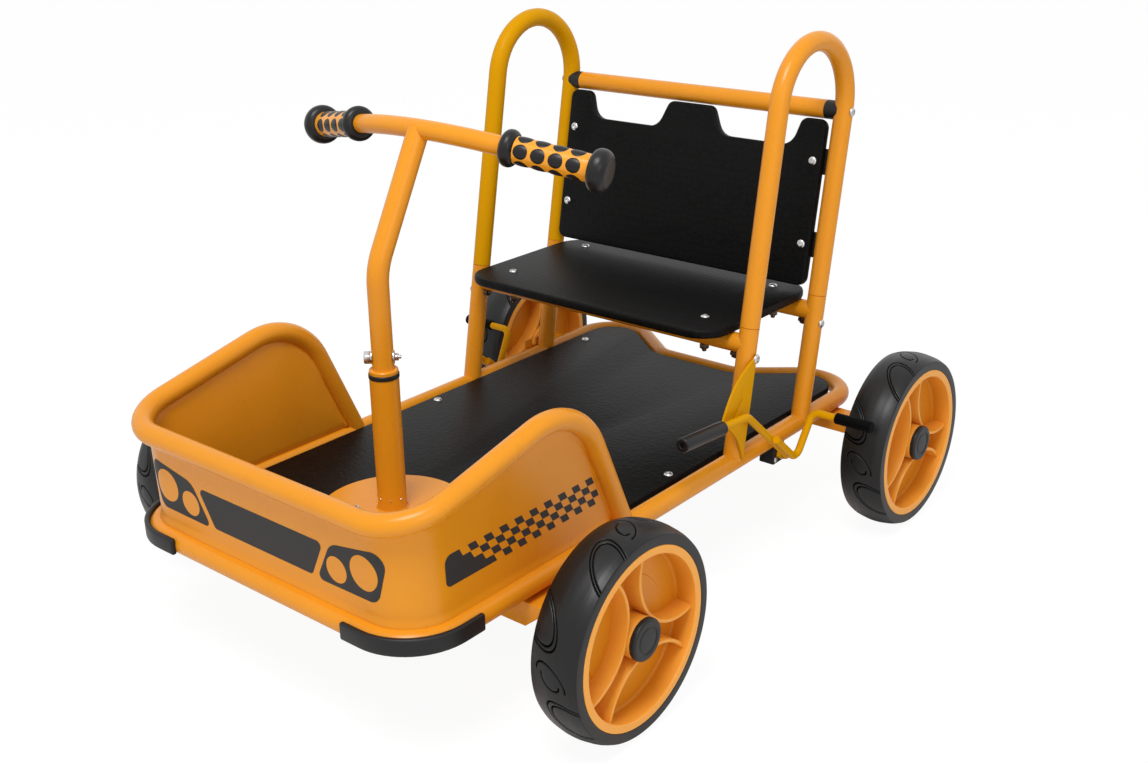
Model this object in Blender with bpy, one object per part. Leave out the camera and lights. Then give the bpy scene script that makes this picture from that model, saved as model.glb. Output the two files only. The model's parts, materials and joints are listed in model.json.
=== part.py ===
# Four-wheeled ride-on kart with a hand brake.
# Metres, +Z up. The driver looks along -Y and +X is the driver's left.
# The front axle is at Y = 0 and the ground at Z = 0. A RISE is a height above the axles,
# and AHEAD and BEHIND are distances from the rear axle.
import math

import bmesh
import bpy
from mathutils import Matrix, Quaternion, Vector

# Clearances
SEAT_GAP = 0.0003
RUNNING_GAP = 0.0003
BOARD_GAP = 0.004

# Resolution of round shapes
TUBE_DETAIL = 4
ROD_DETAIL = 3
CUTTER_DETAIL = 10
ARC_STEP = math.radians(18)
TURN_STEPS = 20
WHEEL_STEPS = 24
FLANGE_STEPS = 40
GRIP_STEPS = 16
MERGE_DISTANCE = 0.00001
SHARP_ANGLE = math.radians(35)

# Wheels
WHEELBASE = 0.629
TYRE_WIDTH = 0.0588
TYRE_SIDEWALL = 0.0116
TYRE_CROWN = 0.0064
TYRE_TREAD_FLAT = 0.012
TYRE_CROWN_DROP = 0.0026
RIM_SEAT_RADIUS = 0.0965
RIM_LIP_HEIGHT = 0.0055
RIM_LIP_WIDTH = 0.004
RIM_LIP_RAMP = 0.003
RIM_WALL = 0.004
RIM_LIP_CHAMFER = 0.0015
RIM_WEB = 0.006
HUB_RADIUS = 0.0235
HUB_INSET = 0.0035
RIB_CENTRE = 0.100
RIB_RADIUS = 0.075
RIB_WALL = 0.004
RIB_INSET = 0.006
RIB_FIRST_ANGLE = math.radians(42)
RIB_COUNT = 3
RIB_STEPS = 8
WHEEL_SIDE_GAP = 0.0662
AXLE_RADIUS = 0.006
AXLE_SHOULDER_RADIUS = 0.0095
AXLE_END_INSET = 0.010
CAP_RADIUS = 0.024
CAP_HEIGHT = 0.007
CAP_ROUND = 0.002

# Deck frame
TUBE_RADIUS = 0.0125
FRAME_HALF_WIDTH = 0.2288
DECK_TUBE_RISE = 0.0275
FRONT_TUBE_Y = -0.1985
FRONT_CORNER_RADIUS = 0.060
REAR_DIAGONAL_END_BEHIND = 0.126
REAR_CORNER_RADIUS = 0.057
RECESS_HALF_WIDTH = 0.068
RECESS_BEHIND = 0.001
RECESS_RADIUS = 0.040
BOARD_TOP_RISE = 0.038
BOARD_THICKNESS = 0.012
CROSS_BAR_WIDTH = 0.040
CROSS_BAR_HEIGHT = 0.010
CROSS_BAR_MID_Y = 0.272
CROSS_BAR_REAR_AHEAD = 0.044
COLUMN_BAR_WIDTH = 0.100

# Front tub
RIM_FOOT_Y = 0.145
RIM_HUMP_Y = 0.0587
RIM_HUMP_RISE = 0.2183
RIM_HUMP_RADIUS = 0.089
RIM_FRONT_RISE = 0.1568
RIM_FRONT_LEAN = 0.0045
PANEL_SHEET = 0.002
PANEL_MIN_HEIGHT = 0.002
BUMPER_DEPTH = 0.0050
BUMPER_HEIGHT = 0.0202
BUMPER_LIFT = 0.0015
BUMPER_RUN = 0.028
BUMPER_ROOT = 0.004

# Steering column
STEER_TRAIL = 0.0055
FLANGE_RADIUS = 0.087
FLANGE_THICKNESS = 0.004
HEAD_RADIUS = 0.017
HEAD_BORE = 0.0135
HEAD_TOP_RISE = 0.207
BUSH_LENGTH = 0.020
BUSH_RING = 0.0045
BUSH_RING_RADIUS = 0.0177
SHAFT_RADIUS = 0.010
SHAFT_IN_STEM = 0.045
STEM_RADIUS = 0.0125
STEM_BEND_RISE = 0.333
STEM_BEND_RADIUS = 0.080
BAR_RADIUS = 0.011
BAR_APEX_BACK = 0.0589
BAR_APEX_RISE = 0.4856
BAR_END_X = 0.2275
BAR_BEND_RADIUS = 0.343
BAR_SWEEP = 0.295
BAR_DROOP = 0.166
GRIP_START_X = 0.1104
GRIP_CORE_RADIUS = 0.0135
GRIP_RING_RADIUS = 0.0205
GRIP_RING_WIDTH = 0.016
GRIP_KNOB_RADIUS = 0.0235
GRIP_KNOB_WIDTH = 0.021
GRIP_END_WALL = 0.008
GRIP_SLEEVE_RADIUS = 0.015
FRONT_BEAM_DEPTH = 0.070
FRONT_BEAM_TOP_RISE = 0.0117
FRONT_BEAM_BOTTOM_RISE = -0.0185
FRONT_BEAM_END_GAP = 0.0455
FRONT_BEAM_CHAMFER_X = 0.031
FRONT_BEAM_CHAMFER_Z = 0.026

# Seat frame
POST_LEAN = math.radians(10.1)
FRONT_POST_AHEAD = 0.2569
REAR_POST_AHEAD = 0.0895
POST_TOP_RISE = 0.2
HOOP_LEG = 0.2733
SEAT_TOP_RISE = 0.203
SEAT_THICKNESS = 0.0117
SEAT_SIDE_GAP = 0.0063
SEAT_FRONT_AHEAD = 0.286
SEAT_REAR_AHEAD = 0.04
SEAT_CORNER_RADIUS = 0.040
BACK_SIDE_GAP = 0.0026
BACK_BOTTOM_RISE = 0.2124
BACK_HEIGHT = 0.2175
BACK_THICKNESS = 0.012
BACK_FORWARD = 0.0029
BACK_CORNER_RADIUS = 0.012
NOTCH_INNER_TOP = 0.036
BACK_HORN_WIDTH = 0.0357
NOTCH_INNER_FLOOR = 0.053
NOTCH_OUTER_SLOPE = 0.012
NOTCH_DEPTH = 0.038
NOTCH_RADIUS = 0.022
TAB_HEIGHT = 0.034
TAB_LENGTH = 0.040
TAB_THICKNESS = 0.006
TAB_HEIGHTS_UP_BACK = (0.053, 0.163)
PUSH_BAR_GAP = 0.0008
PUSH_BAR_RADIUS = 0.0125
PUSH_CAP_LENGTH = 0.011

# Rear axle and lug plate
REAR_BEAM_SIZE = 0.025
LUG_AHEAD = 0.101
LUG_LENGTH = 0.040
LUG_BOTTOM_RISE = 0.018
LUG_HEIGHT = 0.031
LUG_THICKNESS = 0.004
LUG_NOTCH_WIDTH = 0.008
LUG_NOTCH_DEPTH = 0.011
LUG_NOTCH_RADIUS = 0.0039

# Hand brake
BRAKE_AHEAD = 0.159
BRAKE_RISE = 0.0055
BRAKE_ROD_RADIUS = 0.005
BRAKE_BEND_RADIUS = 0.012
LEVER_SIDE_GAP = 0.0142
LEVER_KNEE_BACK = 0.108
LEVER_KNEE_UP = 0.094
LEVER_REACH = 0.250
LEVER_END_UP = 0.105
LEVER_KNEE_RADIUS = 0.020
RIGHT_STUB = 0.045
ARM_STUB = 0.070
ARM_KNEE_X = 0.004
ARM_KNEE_Y = 0.0315
ARM_KNEE_Z = 0.058
ARM_END_INSET = 0.0123
SLEEVE_RADIUS = 0.0075
SLEEVE_LENGTH = 0.049
SLEEVE_END_WALL = 0.002
LEVER_GRIP_RADIUS = 0.009
LEVER_GRIP_LENGTH = 0.086
LEVER_GRIP_OVERHANG = 0.006
BEARING_WIDTH = 0.022
BEARING_DEPTH = 0.026
BEARING_DROP = 0.012
FIN_THICKNESS = 0.003
FIN_TOP_RISE = 0.167
FIN_FOOT_RISE = 0.033
FIN_TIP_AHEAD = 0.3065
FIN_TIP_RISE = 0.0975
FIN_BULGE = 0.012
FIN_HOLLOW = 0.009
FIN_SLOT_WIDTH = 0.0022
FIN_SLOT_SPAN = 0.042
FIN_SLOT_INSET = 0.020
FIN_STEPS = 8

# Places that follow from the sizes above
FRAME_SIDE_X = FRAME_HALF_WIDTH + TUBE_RADIUS
RIM_DISH_RADIUS = RIM_SEAT_RADIUS - RIM_WALL
RIM_RADIUS = RIM_SEAT_RADIUS + RIM_LIP_HEIGHT
TYRE_SHOULDER_RADIUS = RIM_RADIUS + TYRE_SIDEWALL
TYRE_RADIUS = TYRE_SHOULDER_RADIUS + TYRE_CROWN
AXLE_Z = TYRE_RADIUS
DECK_TUBE_Z = AXLE_Z + DECK_TUBE_RISE
BOARD_TOP_Z = AXLE_Z + BOARD_TOP_RISE
RIM_HUMP_Z = AXLE_Z + RIM_HUMP_RISE
RIM_FRONT_Z = AXLE_Z + RIM_FRONT_RISE
HEAD_TOP_Z = AXLE_Z + HEAD_TOP_RISE
STEM_BEND_Z = AXLE_Z + STEM_BEND_RISE
BAR_APEX_Z = AXLE_Z + BAR_APEX_RISE
FRONT_BEAM_TOP_Z = AXLE_Z + FRONT_BEAM_TOP_RISE
FRONT_BEAM_BOTTOM_Z = AXLE_Z + FRONT_BEAM_BOTTOM_RISE
POST_TOP_Z = AXLE_Z + POST_TOP_RISE
SEAT_TOP_Z = AXLE_Z + SEAT_TOP_RISE
BACK_BOTTOM_Z = AXLE_Z + BACK_BOTTOM_RISE
LUG_BOTTOM_Z = AXLE_Z + LUG_BOTTOM_RISE
BRAKE_Z = AXLE_Z + BRAKE_RISE
FIN_TOP_Z = AXLE_Z + FIN_TOP_RISE
FIN_FOOT_Z = AXLE_Z + FIN_FOOT_RISE
FIN_TIP_Z = AXLE_Z + FIN_TIP_RISE
CROSS_BAR_REAR_Y = WHEELBASE - CROSS_BAR_REAR_AHEAD
FRONT_POST_Y = WHEELBASE - FRONT_POST_AHEAD
REAR_POST_Y = WHEELBASE - REAR_POST_AHEAD
SEAT_FRONT_Y = WHEELBASE - SEAT_FRONT_AHEAD
SEAT_REAR_Y = WHEELBASE - SEAT_REAR_AHEAD
FIN_TIP_Y = WHEELBASE - FIN_TIP_AHEAD
REAR_DIAGONAL_END_Y = WHEELBASE + REAR_DIAGONAL_END_BEHIND
RECESS_Y = WHEELBASE + RECESS_BEHIND
WHEEL_INNER_X = FRAME_SIDE_X + WHEEL_SIDE_GAP
WHEEL_FACE_X = WHEEL_INNER_X + TYRE_WIDTH
WHEEL_X = WHEEL_FACE_X - TYRE_WIDTH / 2
FRONT_BEAM_HALF_LENGTH = WHEEL_INNER_X - FRONT_BEAM_END_GAP
SEAT_HALF_WIDTH = FRAME_HALF_WIDTH - TUBE_RADIUS - SEAT_SIDE_GAP
BACK_HALF_WIDTH = FRAME_HALF_WIDTH - TUBE_RADIUS - BACK_SIDE_GAP
NOTCH_OUTER_TOP = BACK_HALF_WIDTH - BACK_HORN_WIDTH
NOTCH_OUTER_FLOOR = NOTCH_OUTER_TOP - NOTCH_OUTER_SLOPE
LUG_Y = WHEELBASE - LUG_AHEAD
BRAKE_Y = WHEELBASE - BRAKE_AHEAD
LEVER_X = FRAME_SIDE_X + LEVER_SIDE_GAP
ARM_END_X = WHEEL_FACE_X - ARM_END_INSET
SLEEVE_START_X = ARM_END_X - SLEEVE_LENGTH
REACH_FRONT = -FRONT_TUBE_Y + TUBE_RADIUS + BUMPER_DEPTH
REACH_REAR = WHEELBASE + TYRE_RADIUS
MID_Y = (REACH_REAR - REACH_FRONT) / 2
COLUMN_Y = -STEER_TRAIL
RIM_FRONT_Y = FRONT_TUBE_Y - RIM_FRONT_LEAN
BOARD_BOTTOM_Z = BOARD_TOP_Z - BOARD_THICKNESS
FLANGE_TOP_Z = BOARD_TOP_Z + SEAT_GAP + FLANGE_THICKNESS
HUB_HALF = TYRE_WIDTH / 2 - HUB_INSET
HUB_INNER_X = WHEEL_X - HUB_HALF
AXLE_END_X = WHEEL_X + HUB_HALF - AXLE_END_INSET
STEM_FOOT_Z = HEAD_TOP_Z + BUSH_RING + 2 * SEAT_GAP
SEAT_TUBE_Z = SEAT_TOP_Z - SEAT_THICKNESS - SEAT_GAP - TUBE_RADIUS
POST_UP = Vector((0, math.sin(POST_LEAN), math.cos(POST_LEAN)))
POST_BACK = Vector((0, math.cos(POST_LEAN), -math.sin(POST_LEAN)))
BAR_OUTWARD = Vector((1, BAR_SWEEP, -BAR_DROOP)).normalized()


def clear_scene():
    for thing in list(bpy.data.objects):
        bpy.data.objects.remove(thing)


def make_material(name, colour, roughness, metallic=0.0):
    made = bpy.data.materials.new(name)
    made.use_nodes = True
    shader = made.node_tree.nodes["Principled BSDF"]
    shader.inputs["Base Color"].default_value = (*colour, 1.0)
    shader.inputs["Roughness"].default_value = roughness
    shader.inputs["Metallic"].default_value = metallic
    return made


def make_empty(name, location, parent=None):
    empty = bpy.data.objects.new(name, None)
    bpy.context.collection.objects.link(empty)
    empty.parent = parent
    empty.location = location
    return empty


def make_object(name, mesh, parent, material):
    made = bpy.data.objects.new(name, mesh)
    bpy.context.collection.objects.link(made)
    made.parent = parent
    mesh.materials.append(material)
    mesh.shade_smooth()
    mesh.set_sharp_from_angle(angle=SHARP_ANGLE)
    return made


def make_cutter(name, mesh, parent):
    cutter = bpy.data.objects.new(name, mesh)
    bpy.context.collection.objects.link(cutter)
    cutter.parent = parent
    cutter.hide_render = True
    cutter.display_type = "WIRE"
    return cutter


def combine(target, operand, operation):
    modifier = target.modifiers.new(operand.name, "BOOLEAN")
    modifier.operation = operation
    modifier.solver = "EXACT"
    modifier.object = operand


def mesh_from_bmesh(name, shape):
    bmesh.ops.recalc_face_normals(shape, faces=shape.faces)
    mesh = bpy.data.meshes.new(name)
    shape.to_mesh(mesh)
    shape.free()
    return mesh


def arc_at(before, corner, after, radius):
    """Points of the arc that rounds one corner of a path."""
    inward = (before - corner).normalized()
    outward = (after - corner).normalized()
    half = inward.angle(outward) / 2
    centre = corner + (inward + outward).normalized() * (radius / math.sin(half))
    first = corner + inward * (radius / math.tan(half)) - centre
    last = corner + outward * (radius / math.tan(half)) - centre
    turn = first.angle(last)
    steps = 2 * math.ceil(turn / ARC_STEP / 2)
    axis = first.cross(last).normalized()
    return [centre + Quaternion(axis, turn * i / steps) @ first for i in range(steps + 1)]


def rounded_path(corners, radii, closed=False):
    """A path through the corners, each rounded by its radius. Open ends have radius None."""
    points = []
    count = len(corners)
    for i, (corner, radius) in enumerate(zip(corners, radii)):
        if radius is None:
            points.append(corner)
        else:
            points += arc_at(corners[i - 1], corner, corners[(i + 1) % count], radius)
    if closed and (points[0] - points[-1]).length < SEAT_GAP:
        points.pop()
    return points


def tube_mesh(name, points, radius, closed=False, detail=TUBE_DETAIL):
    curve = bpy.data.curves.new(name, "CURVE")
    curve.dimensions = "3D"
    curve.bevel_depth = radius
    curve.bevel_resolution = detail
    curve.use_fill_caps = True
    spline = curve.splines.new("POLY")
    spline.points.add(len(points) - 1)
    for spot, point in zip(spline.points, points):
        spot.co = (*point, 1.0)
    spline.use_cyclic_u = closed
    holder = bpy.data.objects.new(name, curve)
    mesh = bpy.data.meshes.new_from_object(holder)
    bpy.data.objects.remove(holder)
    shape = bmesh.new()
    shape.from_mesh(mesh)
    bpy.data.meshes.remove(mesh)
    bmesh.ops.remove_doubles(shape, verts=shape.verts, dist=MERGE_DISTANCE)
    return mesh_from_bmesh(name, shape)


def rod_mesh(name, start, end, radius, detail=CUTTER_DETAIL):
    return tube_mesh(name, [Vector(start), Vector(end)], radius, detail=detail)


def plate_mesh(name, outline, thickness):
    """A flat outline in the local XY plane, extruded up local Z."""
    shape = bmesh.new()
    face = shape.faces.new([shape.verts.new((p[0], p[1], 0)) for p in outline])
    top = bmesh.ops.extrude_face_region(shape, geom=[face])
    moved = [item for item in top["geom"] if isinstance(item, bmesh.types.BMVert)]
    bmesh.ops.translate(shape, verts=moved, vec=(0, 0, thickness))
    return mesh_from_bmesh(name, shape)


def box_mesh(name, low, high):
    shape = bmesh.new()
    size = Vector(high) - Vector(low)
    place = Matrix.Translation((Vector(low) + Vector(high)) / 2) @ Matrix.Diagonal((*size, 1))
    bmesh.ops.create_cube(shape, size=1, matrix=place)
    return mesh_from_bmesh(name, shape)


def turned_mesh(name, profile, steps=TURN_STEPS, flats_on_axes=False):
    """Turn a closed profile of (radius, height) points about local Z.

    With flats_on_axes the flats of the turned shape, not its edges, reach the radius.
    """
    phase = math.pi / steps if flats_on_axes else 0
    swell = 1 / math.cos(math.pi / steps) if flats_on_axes else 1
    shape = bmesh.new()
    turn = Matrix.Rotation(phase, 3, "Z")
    ring = [shape.verts.new(turn @ Vector((r * swell, 0, z))) for r, z in profile]
    edges = [shape.edges.new((a, b)) for a, b in zip(ring, ring[1:] + ring[:1])]
    bmesh.ops.spin(shape, geom=ring + edges, axis=(0, 0, 1), cent=(0, 0, 0),
                   angle=2 * math.pi, steps=steps, use_merge=True)
    bmesh.ops.remove_doubles(shape, verts=shape.verts, dist=MERGE_DISTANCE)
    bmesh.ops.dissolve_degenerate(shape, edges=shape.edges, dist=MERGE_DISTANCE)
    return mesh_from_bmesh(name, shape)


def inset_outline(corners, radii, distance):
    """Move each side of a closed outline in by a distance, and its corner radii with it."""
    count = len(corners)
    moved = []
    new_radii = []
    for i, (corner, radius) in enumerate(zip(corners, radii)):
        along = (corner - corners[i - 1]).normalized()
        away = (corners[(i + 1) % count] - corner).normalized()
        normal_in = Vector((-along.y, along.x, 0))
        normal_out = Vector((-away.y, away.x, 0))
        middle = (normal_in + normal_out).normalized()
        moved.append(corner + middle * (distance / middle.dot(normal_in)))
        convex = along.x * away.y - along.y * away.x > 0
        new_radii.append(radius - distance if convex else radius + distance)
    return moved, new_radii


def mirrored(points):
    return [Vector((-p.x, p.y, p.z)) for p in reversed(points)]


def side_sign(side):
    return 1 if side == "left" else -1


def post_point(foot_y, z):
    """The point of a leaning post's axis at one height, on the symmetry plane."""
    return Vector((0, foot_y + (z - DECK_TUBE_Z) * math.tan(POST_LEAN), z))


def sideways(x):
    return Vector((x, 0, 0))


clear_scene()
ORANGE = make_material("orange powder coat", (0.87, 0.31, 0.035), 0.35)
YELLOW = make_material("yellow powder coat", (0.70, 0.34, 0.005), 0.35)
BOARD = make_material("black film-faced board", (0.014, 0.014, 0.014), 0.5)
PLASTIC = make_material("black plastic", (0.015, 0.015, 0.015), 0.45)
TYRE = make_material("tyre rubber", (0.025, 0.025, 0.025), 0.6)
RIM = make_material("orange rim plastic", (0.87, 0.31, 0.035), 0.4)
STEEL = make_material("bright steel", (0.6, 0.6, 0.6), 0.3, 1.0)

KART = make_empty("kart", (0, -MID_Y, 0))
STEERING = make_empty("steering", (0, COLUMN_Y, 0), KART)
BRAKE = make_empty("brake", (0, BRAKE_Y, BRAKE_Z), KART)

# Deck frame: one closed tube loop
LOOP_HALF = [(FRAME_HALF_WIDTH, FRONT_TUBE_Y, FRONT_CORNER_RADIUS),
             (FRAME_HALF_WIDTH, REAR_DIAGONAL_END_Y, REAR_CORNER_RADIUS),
             (RECESS_HALF_WIDTH, RECESS_Y, RECESS_RADIUS)]
LOOP_CORNERS = [Vector((x, y, 0)) for x, y, r in LOOP_HALF]
LOOP_CORNERS += mirrored(LOOP_CORNERS)
LOOP_RADII = [r for x, y, r in LOOP_HALF]
LOOP_RADII += LOOP_RADII[::-1]


def build_deck():
    level = Vector((0, 0, DECK_TUBE_Z))
    loop = rounded_path([p + level for p in LOOP_CORNERS], LOOP_RADII, closed=True)
    make_object("deck_frame", tube_mesh("deck_frame", loop, TUBE_RADIUS, closed=True), KART, ORANGE)

    corners, radii = inset_outline(LOOP_CORNERS, LOOP_RADII, TUBE_RADIUS + BOARD_GAP)
    outline = rounded_path(corners, radii, closed=True)
    board = make_object("deck_board", plate_mesh("deck_board", outline, BOARD_THICKNESS), KART, BOARD)
    board.location.z = BOARD_BOTTOM_Z
    hole = rod_mesh("board_column_hole", (0, COLUMN_Y, DECK_TUBE_Z - TUBE_RADIUS), (0, COLUMN_Y, HEAD_TOP_Z),
                    HEAD_BORE)
    combine(board, make_cutter("board_column_hole", hole, KART), "DIFFERENCE")

    end = FRAME_HALF_WIDTH - TUBE_RADIUS - SEAT_GAP
    top = BOARD_BOTTOM_Z - SEAT_GAP
    for name, y, width in (("cross_bar_column", COLUMN_Y, COLUMN_BAR_WIDTH),
                           ("cross_bar_mid", CROSS_BAR_MID_Y, CROSS_BAR_WIDTH),
                           ("cross_bar_rear", CROSS_BAR_REAR_Y, CROSS_BAR_WIDTH)):
        bar = make_object(name, box_mesh(name, (-end, y - width / 2, top - CROSS_BAR_HEIGHT),
                                         (end, y + width / 2, top)), KART, ORANGE)
        if name == "cross_bar_column":
            hole = rod_mesh("bar_shaft_hole", (0, COLUMN_Y, FRONT_BEAM_TOP_Z), (0, COLUMN_Y, BOARD_TOP_Z),
                            SHAFT_RADIUS + 2 * RUNNING_GAP)
            combine(bar, make_cutter("bar_shaft_hole", hole, KART), "DIFFERENCE")


# Side tube of the deck loop, as a cutter for what is welded onto it
def side_tube_cutter(name, side):
    x = side_sign(side) * FRAME_HALF_WIDTH
    tube = rod_mesh(name, (x, FRONT_TUBE_Y, DECK_TUBE_Z), (x, REAR_DIAGONAL_END_Y, DECK_TUBE_Z),
                    TUBE_RADIUS + SEAT_GAP)
    return make_cutter(name, tube, KART)


def build_tub(left_tube, right_tube):
    half = [Vector((FRAME_HALF_WIDTH, RIM_FOOT_Y, DECK_TUBE_Z)),
            Vector((FRAME_HALF_WIDTH, RIM_HUMP_Y, RIM_HUMP_Z)),
            Vector((FRAME_HALF_WIDTH, RIM_FRONT_Y, RIM_FRONT_Z))]
    radii = [None, RIM_HUMP_RADIUS, FRONT_CORNER_RADIUS]
    path = rounded_path(half + mirrored(half), radii + radii[::-1])
    rim = make_object("tub_rim", tube_mesh("tub_rim", path, TUBE_RADIUS), KART, ORANGE)
    combine(rim, left_tube, "DIFFERENCE")
    combine(rim, right_tube, "DIFFERENCE")

    # The upright sheet follows the rim tube, which trims its top edge
    foot = DECK_TUBE_Z + TUBE_RADIUS + SEAT_GAP
    leg = path[0] - path[1]
    end_z = foot + PANEL_MIN_HEIGHT + (TUBE_RADIUS + SEAT_GAP) * leg.length / abs(leg.y)
    rear_end = path[0].lerp(path[1], (end_z - path[0].z) / (path[1].z - path[0].z))
    heads = [rear_end] + path[1:-1] + mirrored([rear_end])
    shape = bmesh.new()
    rows = []
    for head in heads:
        forward = max(0, (RIM_HUMP_Y - head.y) / (RIM_HUMP_Y - RIM_FRONT_Y))
        low = Vector((head.x, head.y + RIM_FRONT_LEAN * forward, foot))
        rows.append((shape.verts.new(low), shape.verts.new(head)))
    for (low, high), (next_low, next_high) in zip(rows, rows[1:]):
        shape.faces.new((low, next_low, next_high, high))
    panel = make_object("tub_panel", mesh_from_bmesh("tub_panel", shape), KART, ORANGE)
    sheet = panel.modifiers.new("sheet", "SOLIDIFY")
    sheet.thickness = PANEL_SHEET
    sheet.offset = 0
    cope = tube_mesh("tub_rim_cope", path, TUBE_RADIUS + SEAT_GAP, detail=CUTTER_DETAIL)
    combine(panel, make_cutter("tub_rim_cope", cope, KART), "DIFFERENCE")

    # Corner bumpers lie against the outside of the deck tube
    centre = Vector((FRAME_HALF_WIDTH - FRONT_CORNER_RADIUS, FRONT_TUBE_Y + FRONT_CORNER_RADIUS, 0))
    for side in ("left", "right"):
        sign = side_sign(side)
        line = [Vector((centre.x - BUMPER_RUN, FRONT_TUBE_Y, 0)),
                Vector((FRAME_HALF_WIDTH, FRONT_TUBE_Y, 0)),
                Vector((FRAME_HALF_WIDTH, centre.y + BUMPER_RUN, 0))]
        outer = [p.copy() for p in line]
        reach = TUBE_RADIUS + BUMPER_DEPTH
        outer[0] += Vector((0, -reach, 0))
        outer[1] += Vector((reach, -reach, 0))
        outer[2] += Vector((reach, 0, 0))
        inner = [p.copy() for p in line]
        inner[0] += Vector((0, -BUMPER_ROOT, 0))
        inner[1] += Vector((BUMPER_ROOT, -BUMPER_ROOT, 0))
        inner[2] += Vector((BUMPER_ROOT, 0, 0))
        outline = rounded_path(outer, [None, FRONT_CORNER_RADIUS + reach, None])
        outline += reversed(rounded_path(inner, [None, FRONT_CORNER_RADIUS + BUMPER_ROOT, None]))
        name = "front_bumper_" + side
        bumper = make_object(name, plate_mesh(name, [(sign * p.x, p.y) for p in outline], BUMPER_HEIGHT),
                             KART, PLASTIC)
        bumper.location.z = DECK_TUBE_Z + BUMPER_LIFT - BUMPER_HEIGHT / 2
        spine = rounded_path([line[0] - sideways(BUMPER_RUN), line[1], line[2] + Vector((0, BUMPER_RUN, 0))],
                             [None, FRONT_CORNER_RADIUS, None])
        spine = [Vector((sign * p.x, p.y, DECK_TUBE_Z)) for p in spine]
        tube = tube_mesh(name + "_tube", spine, TUBE_RADIUS + SEAT_GAP, detail=CUTTER_DETAIL)
        combine(bumper, make_cutter(name + "_tube", tube, KART), "DIFFERENCE")


def build_column():
    base = BOARD_TOP_Z + SEAT_GAP
    flange = [(HEAD_BORE, 0), (FLANGE_RADIUS, 0), (FLANGE_RADIUS, FLANGE_THICKNESS),
              (HEAD_BORE, FLANGE_THICKNESS)]
    made = make_object("column_flange", turned_mesh("column_flange", flange, FLANGE_STEPS), KART, ORANGE)
    made.location = (0, COLUMN_Y, base)

    foot = FLANGE_TOP_Z + SEAT_GAP
    head = [(HEAD_BORE, foot), (HEAD_RADIUS, foot), (HEAD_RADIUS, HEAD_TOP_Z), (HEAD_BORE, HEAD_TOP_Z)]
    made = make_object("head_tube", turned_mesh("head_tube", head), KART, ORANGE)
    made.location.y = COLUMN_Y

    bore = SHAFT_RADIUS + RUNNING_GAP
    wall = HEAD_BORE - 2 * SEAT_GAP
    ring = HEAD_TOP_Z + SEAT_GAP
    ring_top = HEAD_TOP_Z + BUSH_RING
    bush = [(bore, HEAD_TOP_Z - BUSH_LENGTH), (wall, HEAD_TOP_Z - BUSH_LENGTH), (wall, ring),
            (BUSH_RING_RADIUS, ring), (BUSH_RING_RADIUS, ring_top), (bore, ring_top)]
    made = make_object("head_bush", turned_mesh("head_bush", bush), KART, PLASTIC)
    made.location.y = COLUMN_Y


def build_seat(left_tube, right_tube):
    tubes = {"left": left_tube, "right": right_tube}
    post_cutters = {}
    for end, foot_y in (("front", FRONT_POST_Y), ("rear", REAR_POST_Y)):
        for side in ("left", "right"):
            name = "seat_post_" + end + "_" + side
            offset = sideways(side_sign(side) * FRAME_HALF_WIDTH)
            line = [post_point(foot_y, DECK_TUBE_Z) + offset, post_point(foot_y, POST_TOP_Z) + offset]
            post = make_object(name, tube_mesh(name, line, TUBE_RADIUS), KART, ORANGE)
            combine(post, tubes[side], "DIFFERENCE")
            cope = rod_mesh(name + "_cope", line[0], line[1] + POST_UP * TUBE_RADIUS, TUBE_RADIUS + SEAT_GAP)
            post_cutters[end, side] = make_cutter(name + "_cope", cope, KART)
        middle = post_point(foot_y, SEAT_TUBE_Z)
        name = "seat_cross_" + end
        bar = rod_mesh(name, middle - sideways(FRAME_HALF_WIDTH), middle + sideways(FRAME_HALF_WIDTH),
                       TUBE_RADIUS, TUBE_DETAIL)
        cross = make_object(name, bar, KART, ORANGE)
        for side in ("left", "right"):
            combine(cross, post_cutters[end, side], "DIFFERENCE")

    half = [Vector((SEAT_HALF_WIDTH, SEAT_FRONT_Y, 0)), Vector((SEAT_HALF_WIDTH, SEAT_REAR_Y, 0))]
    corners = half + mirrored(half)
    outline = rounded_path(corners, [SEAT_CORNER_RADIUS] * 4, closed=True)
    seat = make_object("seat_board", plate_mesh("seat_board", outline, SEAT_THICKNESS), KART, BOARD)
    seat.location.z = SEAT_TOP_Z - SEAT_THICKNESS


def hoop_path(side):
    front = post_point(FRONT_POST_Y, POST_TOP_Z)
    rear = post_point(REAR_POST_Y, POST_TOP_Z)
    span = (rear - front).dot(POST_BACK)
    offset = sideways(side_sign(side) * FRAME_HALF_WIDTH) + POST_UP * SEAT_GAP
    crown = front + POST_UP * (HOOP_LEG + span / 2)
    return rounded_path([front + offset, crown + offset, crown + POST_BACK * span + offset, rear + offset],
                        [None, span / 2, span / 2, None])


def build_hoops():
    for side, paint in (("left", ORANGE), ("right", YELLOW)):
        name = "hoop_" + side
        make_object(name, tube_mesh(name, hoop_path(side), TUBE_RADIUS), KART, paint)


def lean_back(thing, origin):
    """Place an object so that its local Y runs up the posts and its local Z points forward."""
    thing.location = origin
    thing.rotation_euler = (math.pi / 2 - POST_LEAN, 0, 0)


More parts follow.
